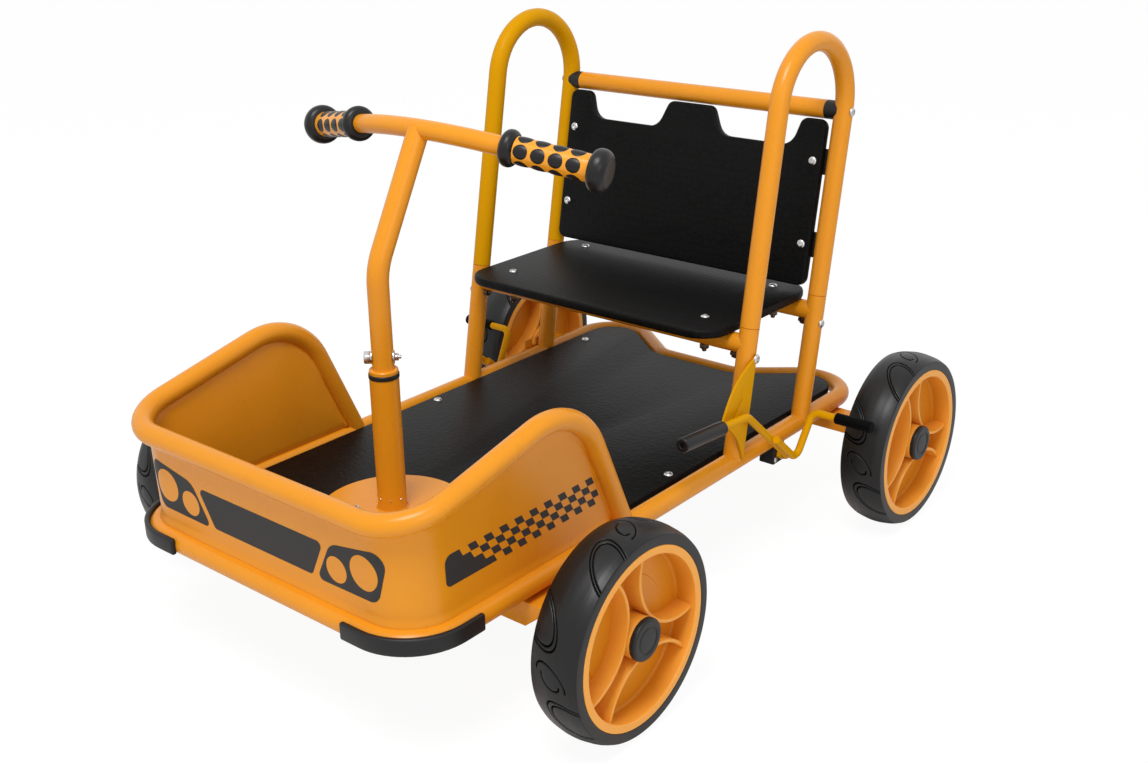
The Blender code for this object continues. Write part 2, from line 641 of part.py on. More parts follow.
def build_back():
    half = [(NOTCH_INNER_TOP, BACK_HEIGHT, BACK_CORNER_RADIUS),
            (NOTCH_INNER_FLOOR, BACK_HEIGHT - NOTCH_DEPTH, NOTCH_RADIUS),
            (NOTCH_OUTER_FLOOR, BACK_HEIGHT - NOTCH_DEPTH, NOTCH_RADIUS),
            (NOTCH_OUTER_TOP, BACK_HEIGHT, BACK_CORNER_RADIUS),
            (BACK_HALF_WIDTH, BACK_HEIGHT, BACK_CORNER_RADIUS),
            (BACK_HALF_WIDTH, 0, BACK_CORNER_RADIUS)]
    corners = [Vector((x, y, 0)) for x, y, r in half]
    radii = [r for x, y, r in half]
    outline = rounded_path(corners + mirrored(corners), radii + radii[::-1], closed=True)
    foot = post_point(REAR_POST_Y, BACK_BOTTOM_Z)
    board = make_object("back_board", plate_mesh("back_board", outline, BACK_THICKNESS), KART, BOARD)
    lean_back(board, foot - POST_BACK * BACK_FORWARD)

    for level, up in zip(("low", "high"), TAB_HEIGHTS_UP_BACK):
        for side in ("left", "right"):
            sign = side_sign(side)
            name = "back_tab_" + level + "_" + side
            leg = FRAME_HALF_WIDTH - TUBE_RADIUS - SEAT_GAP
            low_x, high_x = sorted((sign * leg, sign * (leg - TAB_LENGTH)))
            block = box_mesh(name, (low_x, up - TAB_HEIGHT / 2, 0),
                             (high_x, up + TAB_HEIGHT / 2, TAB_THICKNESS))
            tab = make_object(name, block, KART, PLASTIC)
            lean_back(tab, foot - POST_BACK * (BACK_FORWARD - SEAT_GAP - TAB_THICKNESS))


def build_push_bar():
    back_top = post_point(REAR_POST_Y, BACK_BOTTOM_Z) + POST_UP * BACK_HEIGHT
    middle = back_top + POST_UP * (PUSH_BAR_RADIUS + PUSH_BAR_GAP)
    cap_end = FRAME_HALF_WIDTH - TUBE_RADIUS
    bar_end = cap_end - PUSH_CAP_LENGTH
    bar = rod_mesh("push_bar", middle - sideways(bar_end), middle + sideways(bar_end),
                   PUSH_BAR_RADIUS, TUBE_DETAIL)
    make_object("push_bar", bar, KART, ORANGE)
    for side in ("left", "right"):
        sign = side_sign(side)
        name = "push_bar_cap_" + side
        plug = rod_mesh(name, middle + sideways(sign * (bar_end + SEAT_GAP)),
                        middle + sideways(sign * FRAME_HALF_WIDTH), PUSH_BAR_RADIUS, TUBE_DETAIL)
        cap = make_object(name, plug, KART, PLASTIC)
        cope = tube_mesh(name + "_cope", hoop_path(side), TUBE_RADIUS + SEAT_GAP, detail=CUTTER_DETAIL)
        combine(cap, make_cutter(name + "_cope", cope, KART), "DIFFERENCE")


def axle_mesh(name, y, z):
    """A stub axle across the whole beam, with a shoulder for each wheel."""
    shoulder = HUB_INNER_X - SEAT_GAP
    profile = [(0, -AXLE_END_X), (AXLE_RADIUS, -AXLE_END_X), (AXLE_RADIUS, -shoulder),
               (AXLE_SHOULDER_RADIUS, -shoulder), (AXLE_SHOULDER_RADIUS, shoulder), (AXLE_RADIUS, shoulder),
               (AXLE_RADIUS, AXLE_END_X), (0, AXLE_END_X)]
    mesh = turned_mesh(name, profile)
    mesh.transform(Matrix.Translation((0, y, z)) @ Matrix.Rotation(math.pi / 2, 4, "Y"))
    return mesh


def build_rear_axle():
    half = REAR_BEAM_SIZE / 2
    end = HUB_INNER_X - 4 * RUNNING_GAP
    top = DECK_TUBE_Z - TUBE_RADIUS - SEAT_GAP
    box = box_mesh("rear_axle_beam", (-end, WHEELBASE - half, top - REAR_BEAM_SIZE),
                   (end, WHEELBASE + half, top))
    beam = make_object("rear_axle_beam", box, KART, ORANGE)
    stubs = axle_mesh("rear_axle_stubs", WHEELBASE, AXLE_Z)
    combine(beam, make_cutter("rear_axle_stubs", stubs, KART), "UNION")


def build_lug():
    half = LUG_LENGTH / 2
    notch = LUG_NOTCH_WIDTH / 2
    floor = LUG_HEIGHT - LUG_NOTCH_DEPTH
    corners = [Vector((x, y, 0)) for x, y in ((-half, 0), (half, 0), (half, LUG_HEIGHT), (notch, LUG_HEIGHT),
                                              (notch, floor), (-notch, floor), (-notch, LUG_HEIGHT),
                                              (-half, LUG_HEIGHT))]
    edge = LUG_THICKNESS / 2
    outline = rounded_path(corners, [edge] * 4 + [LUG_NOTCH_RADIUS] * 2 + [edge] * 2, closed=True)
    lug = make_object("side_lug_right", plate_mesh("side_lug_right", outline, LUG_THICKNESS), KART, ORANGE)
    lug.rotation_euler = (math.pi / 2, 0, math.pi / 2)
    lug.location = (-FRAME_HALF_WIDTH - TUBE_RADIUS - SEAT_GAP - LUG_THICKNESS, LUG_Y, LUG_BOTTOM_Z)


def build_steering():
    top = STEM_FOOT_Z + SHAFT_IN_STEM
    shaft = rod_mesh("steering_shaft", (0, 0, FRONT_BEAM_TOP_Z + SEAT_GAP), (0, 0, top), SHAFT_RADIUS)
    make_object("steering_shaft", shaft, STEERING, STEEL)

    apex = Vector((0, BAR_APEX_BACK, BAR_APEX_Z))
    left_end = apex + BAR_OUTWARD * (BAR_END_X / BAR_OUTWARD.x)
    inset = GRIP_END_WALL + SEAT_GAP
    left_tip = left_end - BAR_OUTWARD * inset
    right_tip = Vector((-left_tip.x, left_tip.y, left_tip.z))
    path = rounded_path([left_tip, apex, right_tip], [None, BAR_BEND_RADIUS, None])
    make_object("handlebar", tube_mesh("handlebar", path, BAR_RADIUS), STEERING, ORANGE)
    middle = path[len(path) // 2]

    stem_path = rounded_path([Vector((0, 0, STEM_FOOT_Z)), Vector((0, 0, STEM_BEND_Z)), middle],
                             [None, STEM_BEND_RADIUS, None])
    stem = make_object("steering_stem", tube_mesh("steering_stem", stem_path, STEM_RADIUS), STEERING, ORANGE)
    socket = rod_mesh("stem_socket", (0, 0, STEM_FOOT_Z - STEM_RADIUS), (0, 0, top + SEAT_GAP),
                      SHAFT_RADIUS + SEAT_GAP)
    combine(stem, make_cutter("stem_socket", socket, STEERING), "DIFFERENCE")
    cope = tube_mesh("stem_cope", path, BAR_RADIUS + SEAT_GAP, detail=CUTTER_DETAIL)
    combine(stem, make_cutter("stem_cope", cope, STEERING), "DIFFERENCE")

    length = (BAR_END_X - GRIP_START_X) / BAR_OUTWARD.x
    neck = length - GRIP_KNOB_WIDTH
    bore = BAR_RADIUS + SEAT_GAP
    soft = GRIP_RING_WIDTH / 4
    knob = GRIP_KNOB_WIDTH / 4
    rubber = [(bore, 0), (GRIP_RING_RADIUS - soft, 0), (GRIP_RING_RADIUS, soft),
              (GRIP_RING_RADIUS, GRIP_RING_WIDTH - soft), (GRIP_RING_RADIUS - soft, GRIP_RING_WIDTH),
              (GRIP_CORE_RADIUS, GRIP_RING_WIDTH), (GRIP_CORE_RADIUS, neck), (GRIP_KNOB_RADIUS - knob, neck),
              (GRIP_KNOB_RADIUS, neck + knob), (GRIP_KNOB_RADIUS, length - knob),
              (GRIP_KNOB_RADIUS - knob, length), (0, length), (0, length - GRIP_END_WALL),
              (bore, length - GRIP_END_WALL)]
    inner = GRIP_CORE_RADIUS + SEAT_GAP
    low = GRIP_RING_WIDTH + SEAT_GAP
    high = neck - SEAT_GAP
    sleeve = [(inner, low), (GRIP_SLEEVE_RADIUS, low), (GRIP_SLEEVE_RADIUS, high), (inner, high)]
    for side in ("left", "right"):
        sign = side_sign(side)
        outward = Vector((sign * BAR_OUTWARD.x, BAR_OUTWARD.y, BAR_OUTWARD.z))
        for name, profile, paint in (("grip_rubber_", rubber, PLASTIC), ("grip_sleeve_", sleeve, ORANGE)):
            grip = make_object(name + side, turned_mesh(name + side, profile), STEERING, paint)
            grip.location = apex + outward * (GRIP_START_X / BAR_OUTWARD.x)
            grip.rotation_euler = outward.to_track_quat("Z", "Y").to_euler()

    reach = FRONT_BEAM_HALF_LENGTH
    cut_x = reach - FRONT_BEAM_CHAMFER_X
    cut_z = FRONT_BEAM_BOTTOM_Z + FRONT_BEAM_CHAMFER_Z
    outline = [(-cut_x, FRONT_BEAM_BOTTOM_Z), (cut_x, FRONT_BEAM_BOTTOM_Z), (reach, cut_z),
               (reach, FRONT_BEAM_TOP_Z), (-reach, FRONT_BEAM_TOP_Z), (-reach, cut_z)]
    beam_mesh = plate_mesh("front_axle_beam", outline, FRONT_BEAM_DEPTH)
    beam_mesh.transform(Matrix.Translation((0, STEER_TRAIL + FRONT_BEAM_DEPTH / 2, 0))
                        @ Matrix.Rotation(math.pi / 2, 4, "X"))
    beam = make_object("front_axle_beam", beam_mesh, STEERING, ORANGE)
    stubs = axle_mesh("front_axle_stubs", STEER_TRAIL, AXLE_Z)
    combine(beam, make_cutter("front_axle_stubs", stubs, STEERING), "UNION")


def build_brake():
    knee = Vector((0, -LEVER_KNEE_BACK, LEVER_KNEE_UP))
    rise = knee.normalized()
    tip = Vector((LEVER_X, -LEVER_REACH, LEVER_END_UP))
    hand = (tip - (knee + sideways(LEVER_X))).normalized()
    rod_tip = tip - hand * LEVER_GRIP_OVERHANG
    corners = [rise * RIGHT_STUB - sideways(LEVER_X), -sideways(LEVER_X), sideways(LEVER_X),
               knee + sideways(LEVER_X), rod_tip]
    bends = [None, BRAKE_BEND_RADIUS, BRAKE_BEND_RADIUS, LEVER_KNEE_RADIUS, None]
    rod = tube_mesh("brake_shaft_and_lever", rounded_path(corners, bends), BRAKE_ROD_RADIUS, detail=ROD_DETAIL)
    make_object("brake_shaft_and_lever", rod, BRAKE, YELLOW)
    bore = BRAKE_ROD_RADIUS + SEAT_GAP
    grip = [(bore, 0), (LEVER_GRIP_RADIUS, 0), (LEVER_GRIP_RADIUS, LEVER_GRIP_LENGTH),
            (bore, LEVER_GRIP_LENGTH)]
    handle = make_object("lever_grip", turned_mesh("lever_grip", grip, GRIP_STEPS), BRAKE, PLASTIC)
    handle.location = tip - hand * LEVER_GRIP_LENGTH
    handle.rotation_euler = hand.to_track_quat("Z", "Y").to_euler()

    arm_x = LEVER_X + 2 * BRAKE_ROD_RADIUS + SEAT_GAP
    wall = ARM_END_X + SEAT_GAP
    sleeve = [(bore, SLEEVE_START_X), (SLEEVE_RADIUS, SLEEVE_START_X), (SLEEVE_RADIUS, wall + SLEEVE_END_WALL),
              (0, wall + SLEEVE_END_WALL), (0, wall), (bore, wall)]
    for side in ("left", "right"):
        sign = side_sign(side)
        line = [rise * ARM_STUB + sideways(arm_x), sideways(arm_x),
                Vector((arm_x + ARM_KNEE_X, ARM_KNEE_Y, ARM_KNEE_Z)),
                Vector((ARM_END_X, ARM_KNEE_Y, ARM_KNEE_Z))]
        path = rounded_path(line, [None, BRAKE_BEND_RADIUS, BRAKE_BEND_RADIUS, None])
        path = [Vector((sign * p.x, p.y, p.z)) for p in path]
        name = "brake_arm_" + side
        make_object(name, tube_mesh(name, path, BRAKE_ROD_RADIUS, detail=ROD_DETAIL), BRAKE, YELLOW)
        name = "brake_sleeve_" + side
        made = make_object(name, turned_mesh(name, sleeve, GRIP_STEPS), BRAKE, PLASTIC)
        made.location = (0, ARM_KNEE_Y, ARM_KNEE_Z)
        made.rotation_euler = (0, sign * math.pi / 2, 0)


def build_brake_mounts(left_tube, right_tube):
    for side, tube in (("left", left_tube), ("right", right_tube)):
        x = side_sign(side) * FRAME_HALF_WIDTH
        name = "brake_bearing_" + side
        low = (x - BEARING_WIDTH / 2, BRAKE_Y - BEARING_DEPTH / 2, BRAKE_Z - BEARING_DROP)
        high = (x + BEARING_WIDTH / 2, BRAKE_Y + BEARING_DEPTH / 2, DECK_TUBE_Z - TUBE_RADIUS / 2)
        block = make_object(name, box_mesh(name, low, high), KART, PLASTIC)
        combine(block, tube, "DIFFERENCE")
        bore = rod_mesh(name + "_bore", (x - BEARING_WIDTH, BRAKE_Y, BRAKE_Z),
                        (x + BEARING_WIDTH, BRAKE_Y, BRAKE_Z), BRAKE_ROD_RADIUS + RUNNING_GAP)
        combine(block, make_cutter(name + "_bore", bore, KART), "DIFFERENCE")


def bowed(start, end, bow, steps):
    """Points from start to end, bowed to one side. The end point is left out."""
    along = end - start
    normal = Vector((along.y, -along.x, 0)).normalized()
    return [start.lerp(end, i / steps) + normal * (bow * math.sin(math.pi * i / steps)) for i in range(steps)]


def build_fin():
    head = post_point(FRONT_POST_Y, FIN_TOP_Z)
    foot = post_point(FRONT_POST_Y, FIN_FOOT_Z)
    top = Vector((head.y, head.z, 0))
    bottom = Vector((foot.y, foot.z, 0))
    tip = Vector((FIN_TIP_Y, FIN_TIP_Z, 0))
    outline = bowed(top, tip, FIN_BULGE, FIN_STEPS) + bowed(tip, bottom, -FIN_HOLLOW, FIN_STEPS) + [bottom]
    place = Matrix.Rotation(math.pi / 2, 4, "Z") @ Matrix.Rotation(math.pi / 2, 4, "X")
    fin_mesh = plate_mesh("brake_fin", outline, FIN_THICKNESS)
    fin_mesh.transform(place)
    fin = make_object("brake_fin", fin_mesh, KART, YELLOW)
    fin.location.x = FRAME_HALF_WIDTH + TUBE_RADIUS + SEAT_GAP

    # The slot follows the path of the lever about the brake shaft
    pivot = Vector((BRAKE_Y, BRAKE_Z, 0))
    slot_radius = (tip - pivot).length - FIN_SLOT_INSET
    start = math.atan2(tip.y - pivot.y, tip.x - pivot.x)
    sweep = FIN_SLOT_SPAN / slot_radius
    inner = []
    outer = []
    for i in range(FIN_STEPS + 1):
        angle = start - sweep * i / FIN_STEPS
        ray = Vector((math.cos(angle), math.sin(angle), 0))
        inner.append(pivot + ray * (slot_radius - FIN_SLOT_WIDTH / 2))
        outer.append(pivot + ray * (slot_radius + FIN_SLOT_WIDTH / 2))
    slot_mesh = plate_mesh("brake_fin_slot", inner + outer[::-1], 3 * FIN_THICKNESS)
    slot_mesh.transform(place)
    slot = make_cutter("brake_fin_slot", slot_mesh, KART)
    slot.location.x = fin.location.x - FIN_THICKNESS
    combine(fin, slot, "DIFFERENCE")


def rib_mesh(name, angle):
    """One curved rib, bowed towards the hub, in a wheel that turns about local Z."""
    reach = RIM_DISH_RADIUS + RIB_WALL / 2
    spread = math.acos((RIB_CENTRE ** 2 + RIB_RADIUS ** 2 - reach ** 2) / (2 * RIB_CENTRE * RIB_RADIUS))
    height = TYRE_WIDTH - 2 * RIB_INSET
    near = []
    far = []
    for i in range(RIB_STEPS + 1):
        bend = math.pi + spread * (2 * i / RIB_STEPS - 1)
        ray = Vector((math.cos(bend), math.sin(bend), 0))
        near.append(sideways(RIB_CENTRE) + ray * (RIB_RADIUS - RIB_WALL / 2))
        far.append(sideways(RIB_CENTRE) + ray * (RIB_RADIUS + RIB_WALL / 2))
    mesh = plate_mesh(name, near + far[::-1], height)
    mesh.transform(Matrix.Rotation(angle, 4, "Z") @ Matrix.Translation((0, 0, -height / 2)))
    return mesh


def build_wheel(name, carrier, y, outboard):
    hub = make_empty(name, (outboard * WHEEL_X, y, AXLE_Z), carrier)
    half = TYRE_WIDTH / 2
    seat = half - RIM_LIP_WIDTH - RIM_LIP_RAMP
    web = RIM_WEB / 2
    lip_inner = RIM_DISH_RADIUS + RIM_LIP_CHAMFER
    side = [(lip_inner, half), (RIM_RADIUS, half), (RIM_RADIUS, half - RIM_LIP_WIDTH), (RIM_SEAT_RADIUS, seat)]
    dish = [(RIM_DISH_RADIUS, half - RIM_LIP_CHAMFER), (RIM_DISH_RADIUS, web), (HUB_RADIUS, web),
            (HUB_RADIUS, HUB_HALF)]
    bore = AXLE_RADIUS + RUNNING_GAP
    rim_profile = side + [(r, -z) for r, z in reversed(side)]
    rim_profile += [(r, -z) for r, z in dish] + [(bore, -HUB_HALF), (bore, HUB_HALF)] + dish[::-1]
    # The ribs' angles are counted from +Y towards +Z, seen from outside
    upright = Matrix.Rotation(math.pi / 2, 4, "Z") @ Matrix.Rotation(math.pi / 2, 4, "X")
    rim_mesh = turned_mesh(name + "_rim", rim_profile, WHEEL_STEPS, True)
    rim_mesh.transform(upright)
    rim = make_object(name + "_rim", rim_mesh, hub, RIM)
    for i in range(RIB_COUNT):
        rib_name = name + "_rib_" + str(i)
        rib = rib_mesh(rib_name, RIB_FIRST_ANGLE + 2 * math.pi * i / RIB_COUNT)
        rib.transform(upright)
        combine(rim, make_cutter(rib_name, rib, hub), "UNION")

    flat = TYRE_TREAD_FLAT / 2
    bead = RIM_RADIUS + SEAT_GAP
    floor = RIM_SEAT_RADIUS + SEAT_GAP
    crown = TYRE_RADIUS - TYRE_CROWN_DROP
    top_half = [(TYRE_RADIUS, flat), (crown, flat + half / 2), (TYRE_SHOULDER_RADIUS, half),
                (bead, half), (bead, half - RIM_LIP_WIDTH - SEAT_GAP), (floor, seat - SEAT_GAP)]
    tyre_profile = top_half + [(r, -z) for r, z in reversed(top_half)]
    tyre_mesh = turned_mesh(name + "_tyre", tyre_profile, WHEEL_STEPS, True)
    tyre_mesh.transform(upright)
    make_object(name + "_tyre", tyre_mesh, hub, TYRE)

    base = HUB_HALF + SEAT_GAP
    cap_profile = [(0, base), (CAP_RADIUS, base), (CAP_RADIUS, base + CAP_HEIGHT - CAP_ROUND),
                   (CAP_RADIUS - CAP_ROUND, base + CAP_HEIGHT), (0, base + CAP_HEIGHT)]
    cap_mesh = turned_mesh(name + "_cap", cap_profile)
    cap_mesh.transform(upright)
    make_object(name + "_cap", cap_mesh, hub, PLASTIC)
    if outboard < 0:
        hub.rotation_euler.z = math.pi


build_deck()
LEFT_TUBE = side_tube_cutter("side_tube_left", "left")
RIGHT_TUBE = side_tube_cutter("side_tube_right", "right")
build_tub(LEFT_TUBE, RIGHT_TUBE)
build_column()
build_seat(LEFT_TUBE, RIGHT_TUBE)
build_hoops()
build_back()
build_push_bar()
build_rear_axle()
build_lug()
build_steering()
build_brake()
build_brake_mounts(LEFT_TUBE, RIGHT_TUBE)
build_fin()
for side_name, direction in (("left", 1), ("right", -1)):
    build_wheel("front_wheel_" + side_name, STEERING, STEER_TRAIL, direction)
    build_wheel("rear_wheel_" + side_name, KART, WHEELBASE, direction)
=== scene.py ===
import json
import math
import bmesh
import bpy
from mathutils import Matrix, Quaternion, Vector

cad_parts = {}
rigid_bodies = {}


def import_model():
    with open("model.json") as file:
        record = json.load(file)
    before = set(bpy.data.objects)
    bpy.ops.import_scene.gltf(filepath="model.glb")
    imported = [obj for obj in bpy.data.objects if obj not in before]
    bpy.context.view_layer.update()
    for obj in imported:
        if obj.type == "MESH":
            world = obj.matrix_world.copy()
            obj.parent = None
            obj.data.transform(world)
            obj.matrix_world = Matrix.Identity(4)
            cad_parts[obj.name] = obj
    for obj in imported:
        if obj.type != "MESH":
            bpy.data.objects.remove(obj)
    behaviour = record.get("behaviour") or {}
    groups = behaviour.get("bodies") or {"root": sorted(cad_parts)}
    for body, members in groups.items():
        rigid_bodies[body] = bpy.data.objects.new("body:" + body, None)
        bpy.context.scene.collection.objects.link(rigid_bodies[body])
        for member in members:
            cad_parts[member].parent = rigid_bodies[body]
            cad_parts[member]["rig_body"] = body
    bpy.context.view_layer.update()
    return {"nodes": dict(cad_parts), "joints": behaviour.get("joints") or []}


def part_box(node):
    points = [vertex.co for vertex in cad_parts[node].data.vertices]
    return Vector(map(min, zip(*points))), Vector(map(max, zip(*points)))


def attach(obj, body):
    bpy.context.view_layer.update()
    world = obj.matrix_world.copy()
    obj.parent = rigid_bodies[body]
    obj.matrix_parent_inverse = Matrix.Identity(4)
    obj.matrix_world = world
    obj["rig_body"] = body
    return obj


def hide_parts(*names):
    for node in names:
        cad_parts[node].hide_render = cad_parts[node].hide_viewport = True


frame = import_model()
nodes = frame["nodes"]
hinge = {joint["name"]: Vector(joint["pos_m"]) for joint in frame["joints"]}
axleY = hinge["front_left_spin"].y  # lengths are counted from the front axle, heights from the ground
sides = (("left", 1), ("right", -1))
clearance = 0.0003  # between pieces that are fitted together
print("frame loaded:", len(nodes), "nodes")


def spot(x, y, z):
    return Vector((x, y + axleY, z))


def flat(points):
    return [Vector((a, b, 0)) for a, b in points]


def mirrored(points):
    return [Vector((-p.x, p.y, p.z)) for p in reversed(points)]


def otherSide(profile):  # the same profile on the wheel's other side
    return [(r, -across) for r, across in reversed(profile)]


def rounded(corners, radii, degrees=6):  # a corner with no radius stays sharp
    line = []
    for i, (corner, radius) in enumerate(zip(corners, radii)):
        if not radius:
            line.append(corner.copy())
            continue
        back = (corners[i - 1] - corner).normalized()
        ahead = (corners[(i + 1) % len(corners)] - corner).normalized()
        half = back.angle(ahead) / 2
        centre = corner + (back + ahead).normalized() * (radius / math.sin(half))
        first = corner + back * (radius / math.tan(half)) - centre
        last = corner + ahead * (radius / math.tan(half)) - centre
        sweep = first.angle(last)
        steps = 2 * max(1, math.ceil(sweep / math.radians(degrees) / 2))
        axis = first.cross(last).normalized()
        line += [centre + Quaternion(axis, sweep * k / steps) @ first for k in range(steps + 1)]
    return line


def roundedProfile(points, radii, degrees):
    return [(p.x, p.y) for p in rounded(flat(points), radii, degrees)]


def facing(origin, direction):
    turn = Vector(direction).to_track_quat("Z", "Y").to_matrix().to_4x4()
    return Matrix.Translation(origin) @ turn


def tubeShape(points, radius, closed=False, sides=8):
    curve = bpy.data.curves.new("route", "CURVE")
    curve.dimensions = "3D"
    curve.bevel_depth = radius
    curve.bevel_resolution = sides
    curve.use_fill_caps = True
    spline = curve.splines.new("POLY")
    spline.points.add(len(points) - 1)
    for knot, point in zip(spline.points, points):
        knot.co = (*point, 1)
    spline.use_cyclic_u = closed
    holder = bpy.data.objects.new("route", curve)
    mesh = bpy.data.meshes.new_from_object(holder)
    shape = bmesh.new()
    shape.from_mesh(mesh)
    bpy.data.objects.remove(holder)
    bpy.data.curves.remove(curve)
    bpy.data.meshes.remove(mesh)
    return shape


def addTo(whole, part):
    mesh = bpy.data.meshes.new("part")
    part.to_mesh(mesh)
    part.free()
    whole.from_mesh(mesh)
    bpy.data.meshes.remove(mesh)


def turnedShape(profile, place, closed=False, steps=64, wedges=1):
    shape = bmesh.new()
    ring = [shape.verts.new((r, 0, h)) for r, h in profile]
    pairs = list(zip(ring, ring[1:])) + ([(ring[-1], ring[0])] if closed else [])
    edges = [shape.edges.new(pair) for pair in pairs]
    bmesh.ops.spin(shape, geom=ring + edges, axis=(0, 0, 1), cent=(0, 0, 0),
                   angle=2 * math.pi / wedges, steps=steps // wedges, use_merge=wedges == 1)
    wedge = shape.copy()
    for k in range(1, wedges):  # a very fine spin is quicker as copies of one wedge
        copied = wedge.copy()
        turn = Matrix.Rotation(2 * math.pi * k / wedges, 4, "Z")
        bmesh.ops.transform(copied, matrix=turn, verts=copied.verts)
        addTo(shape, copied)
    wedge.free()
    bmesh.ops.remove_doubles(shape, verts=shape.verts, dist=1e-6)
    bmesh.ops.dissolve_degenerate(shape, edges=shape.edges, dist=1e-6)
    bmesh.ops.transform(shape, matrix=place, verts=shape.verts)
    return shape


def softenEdges(shape, width, segments=2, sharp=30):
    edges = [e for e in shape.edges
             if len(e.link_faces) == 2 and e.calc_face_angle(0) > math.radians(sharp)]
    bmesh.ops.bevel(shape, geom=edges, offset=width, offset_type="OFFSET", affect="EDGES",
                    segments=segments, profile=0.5, material=-1, clamp_overlap=True)


def plateShape(outline, thickness, place, edge, segments=2):
    shape = bmesh.new()
    face = shape.faces.new([shape.verts.new((p[0], p[1], 0)) for p in outline])
    lifted = bmesh.ops.extrude_face_region(shape, geom=[face])
    moved = [v for v in lifted["geom"] if isinstance(v, bmesh.types.BMVert)]
    bmesh.ops.translate(shape, verts=moved, vec=(0, 0, thickness))
    bmesh.ops.recalc_face_normals(shape, faces=shape.faces)
    softenEdges(shape, edge, segments)
    bmesh.ops.transform(shape, matrix=place, verts=shape.verts)
    return shape


def makePiece(name, shape, body, finish, replaced=(), sharp=40, merge=True):
    material, slot = finish
    if merge:
        bmesh.ops.remove_doubles(shape, verts=shape.verts, dist=1e-6)
        bmesh.ops.recalc_face_normals(shape, faces=shape.faces)
    mesh = bpy.data.meshes.new(name)
    shape.to_mesh(mesh)
    shape.free()
    mesh.materials.append(material)
    mesh.shade_smooth()
    mesh.set_sharp_from_angle(angle=math.radians(sharp))
    piece = bpy.data.objects.new(name, mesh)
    bpy.context.scene.collection.objects.link(piece)
    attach(piece, body)
    if replaced:
        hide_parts(*replaced)
    return piece


def softenedNode(node, width, finish, drawn=None):  # a node's own solid with its edges rounded
    shape = bmesh.new()
    shape.from_mesh(nodes[node].data)
    bmesh.ops.remove_doubles(shape, verts=shape.verts, dist=1e-5)
    bmesh.ops.dissolve_limit(shape, angle_limit=math.radians(1), verts=shape.verts, edges=shape.edges)
    if drawn:  # the half that looks this way is drawn out a little
        runs = [v.co.dot(drawn) for v in shape.verts]
        middle, span = (max(runs) + min(runs)) / 2, (max(runs) - min(runs)) / 2
        for v, run in zip(shape.verts, runs):
            v.co += drawn * (max(0, run - middle) / span)
    softenEdges(shape, width, 3)
    return makePiece(node + "_soft", shape, nodes[node]["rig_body"], finish, [node])


def linear(code):  # an sRGB hex code as linear colour
    parts = [int(code[i:i + 2], 16) / 255 for i in (1, 3, 5)]
    return [c / 12.92 if c <= 0.04045 else ((c + 0.055) / 1.055) ** 2.4 for c in parts] + [1]


def setInputs(tree, node, inputs):  # a socket is linked, any other value is set
    for key, value in inputs.items():
        if isinstance(value, bpy.types.NodeSocket):
            tree.links.new(value, node.inputs[key])
        else:
            node.inputs[key].default_value = value


def addNode(tree, kind, settings=None, inputs=None):
    made = tree.nodes.new(kind)
    for key, value in (settings or {}).items():
        setattr(made, key, value)
    setInputs(tree, made, inputs or {})
    return made


def newMaterial(name):
    made = bpy.data.materials.new(name)
    made.use_nodes = True
    tree = made.node_tree
    return made, tree, tree.nodes["Principled BSDF"]


def perMetre(millimetres):  # texture scale for a feature of that size
    return 1000 / millimetres


reliefDepth = {"peel": 0.0004, "grain": 0.0003, "emboss": 0.0005, "skin": 0.0001}
roughSpread = {"coat": 0.04, "plate": 0.06}  # how far the roughness wanders to either side


def coverSurface(tree, shader, look, shade, relief=None, driven=None):
    # the shade picks a tone from deep to bright, and relief names a height and how it is pressed in
    tone = addNode(tree, "ShaderNodeMix", {"data_type": "RGBA"},
                   {0: shade, 6: linear(look["deep"]), 7: linear(look["bright"])})
    inputs = {"Base Color": tone.outputs[2], "Roughness": look["rough"], "Specular IOR Level": look["shine"]}
    if relief:
        height, kind = relief
        bump = addNode(tree, "ShaderNodeBump", None,
                       {"Height": height, "Strength": look[kind], "Distance": reliefDepth[kind]})
        inputs["Normal"] = bump.outputs["Normal"]
    setInputs(tree, shader, {**inputs, **(driven or {})})


def powderCoat(name, slot, look):
    # polyester powder baked on steel: even colour under a glossy skin with a fine orange peel
    made, tree, shader = newMaterial(name)
    where = addNode(tree, "ShaderNodeTexCoord").outputs["Object"]
    cloud = addNode(tree, "ShaderNodeTexNoise", None,
                    {"Vector": where, "Scale": perMetre(look["cloudMm"]), "Detail": 2}).outputs["Fac"]
    peel = addNode(tree, "ShaderNodeTexNoise", None,
                   {"Vector": where, "Scale": perMetre(look["peelMm"]), "Detail": 1}).outputs["Fac"]
    rough = addNode(tree, "ShaderNodeMapRange", None,
                    {"Value": cloud, "To Min": look["rough"] - roughSpread["coat"],
                     "To Max": look["rough"] + roughSpread["coat"]})
    coverSurface(tree, shader, look, cloud, (peel, "peel"), {"Roughness": rough.outputs["Result"]})
    return made, slot


def mouldedPlastic(name, slot, look):
    # injection-moulded polypropylene: a slightly sheened skin with a fine spark-eroded grain
    made, tree, shader = newMaterial(name)
    where = addNode(tree, "ShaderNodeTexCoord").outputs["Object"]
    grain = addNode(tree, "ShaderNodeTexNoise", None,
                    {"Vector": where, "Scale": perMetre(look["grainMm"]), "Detail": 3}).outputs["Fac"]
    shade = grain
    if "mottle" in look:  # painted shade: a wheel is darker down in its dish and paler toward its lip
        rise = addNode(tree, "ShaderNodeAttribute", {"attribute_name": "rise"})
        shade = addNode(tree, "ShaderNodeMath", {"operation": "MULTIPLY_ADD", "use_clamp": True},
                        {0: grain, 1: look["mottle"], 2: rise.outputs["Fac"]}).outputs["Value"]
    coverSurface(tree, shader, look, shade, (grain, "grain"))
    return made, slot


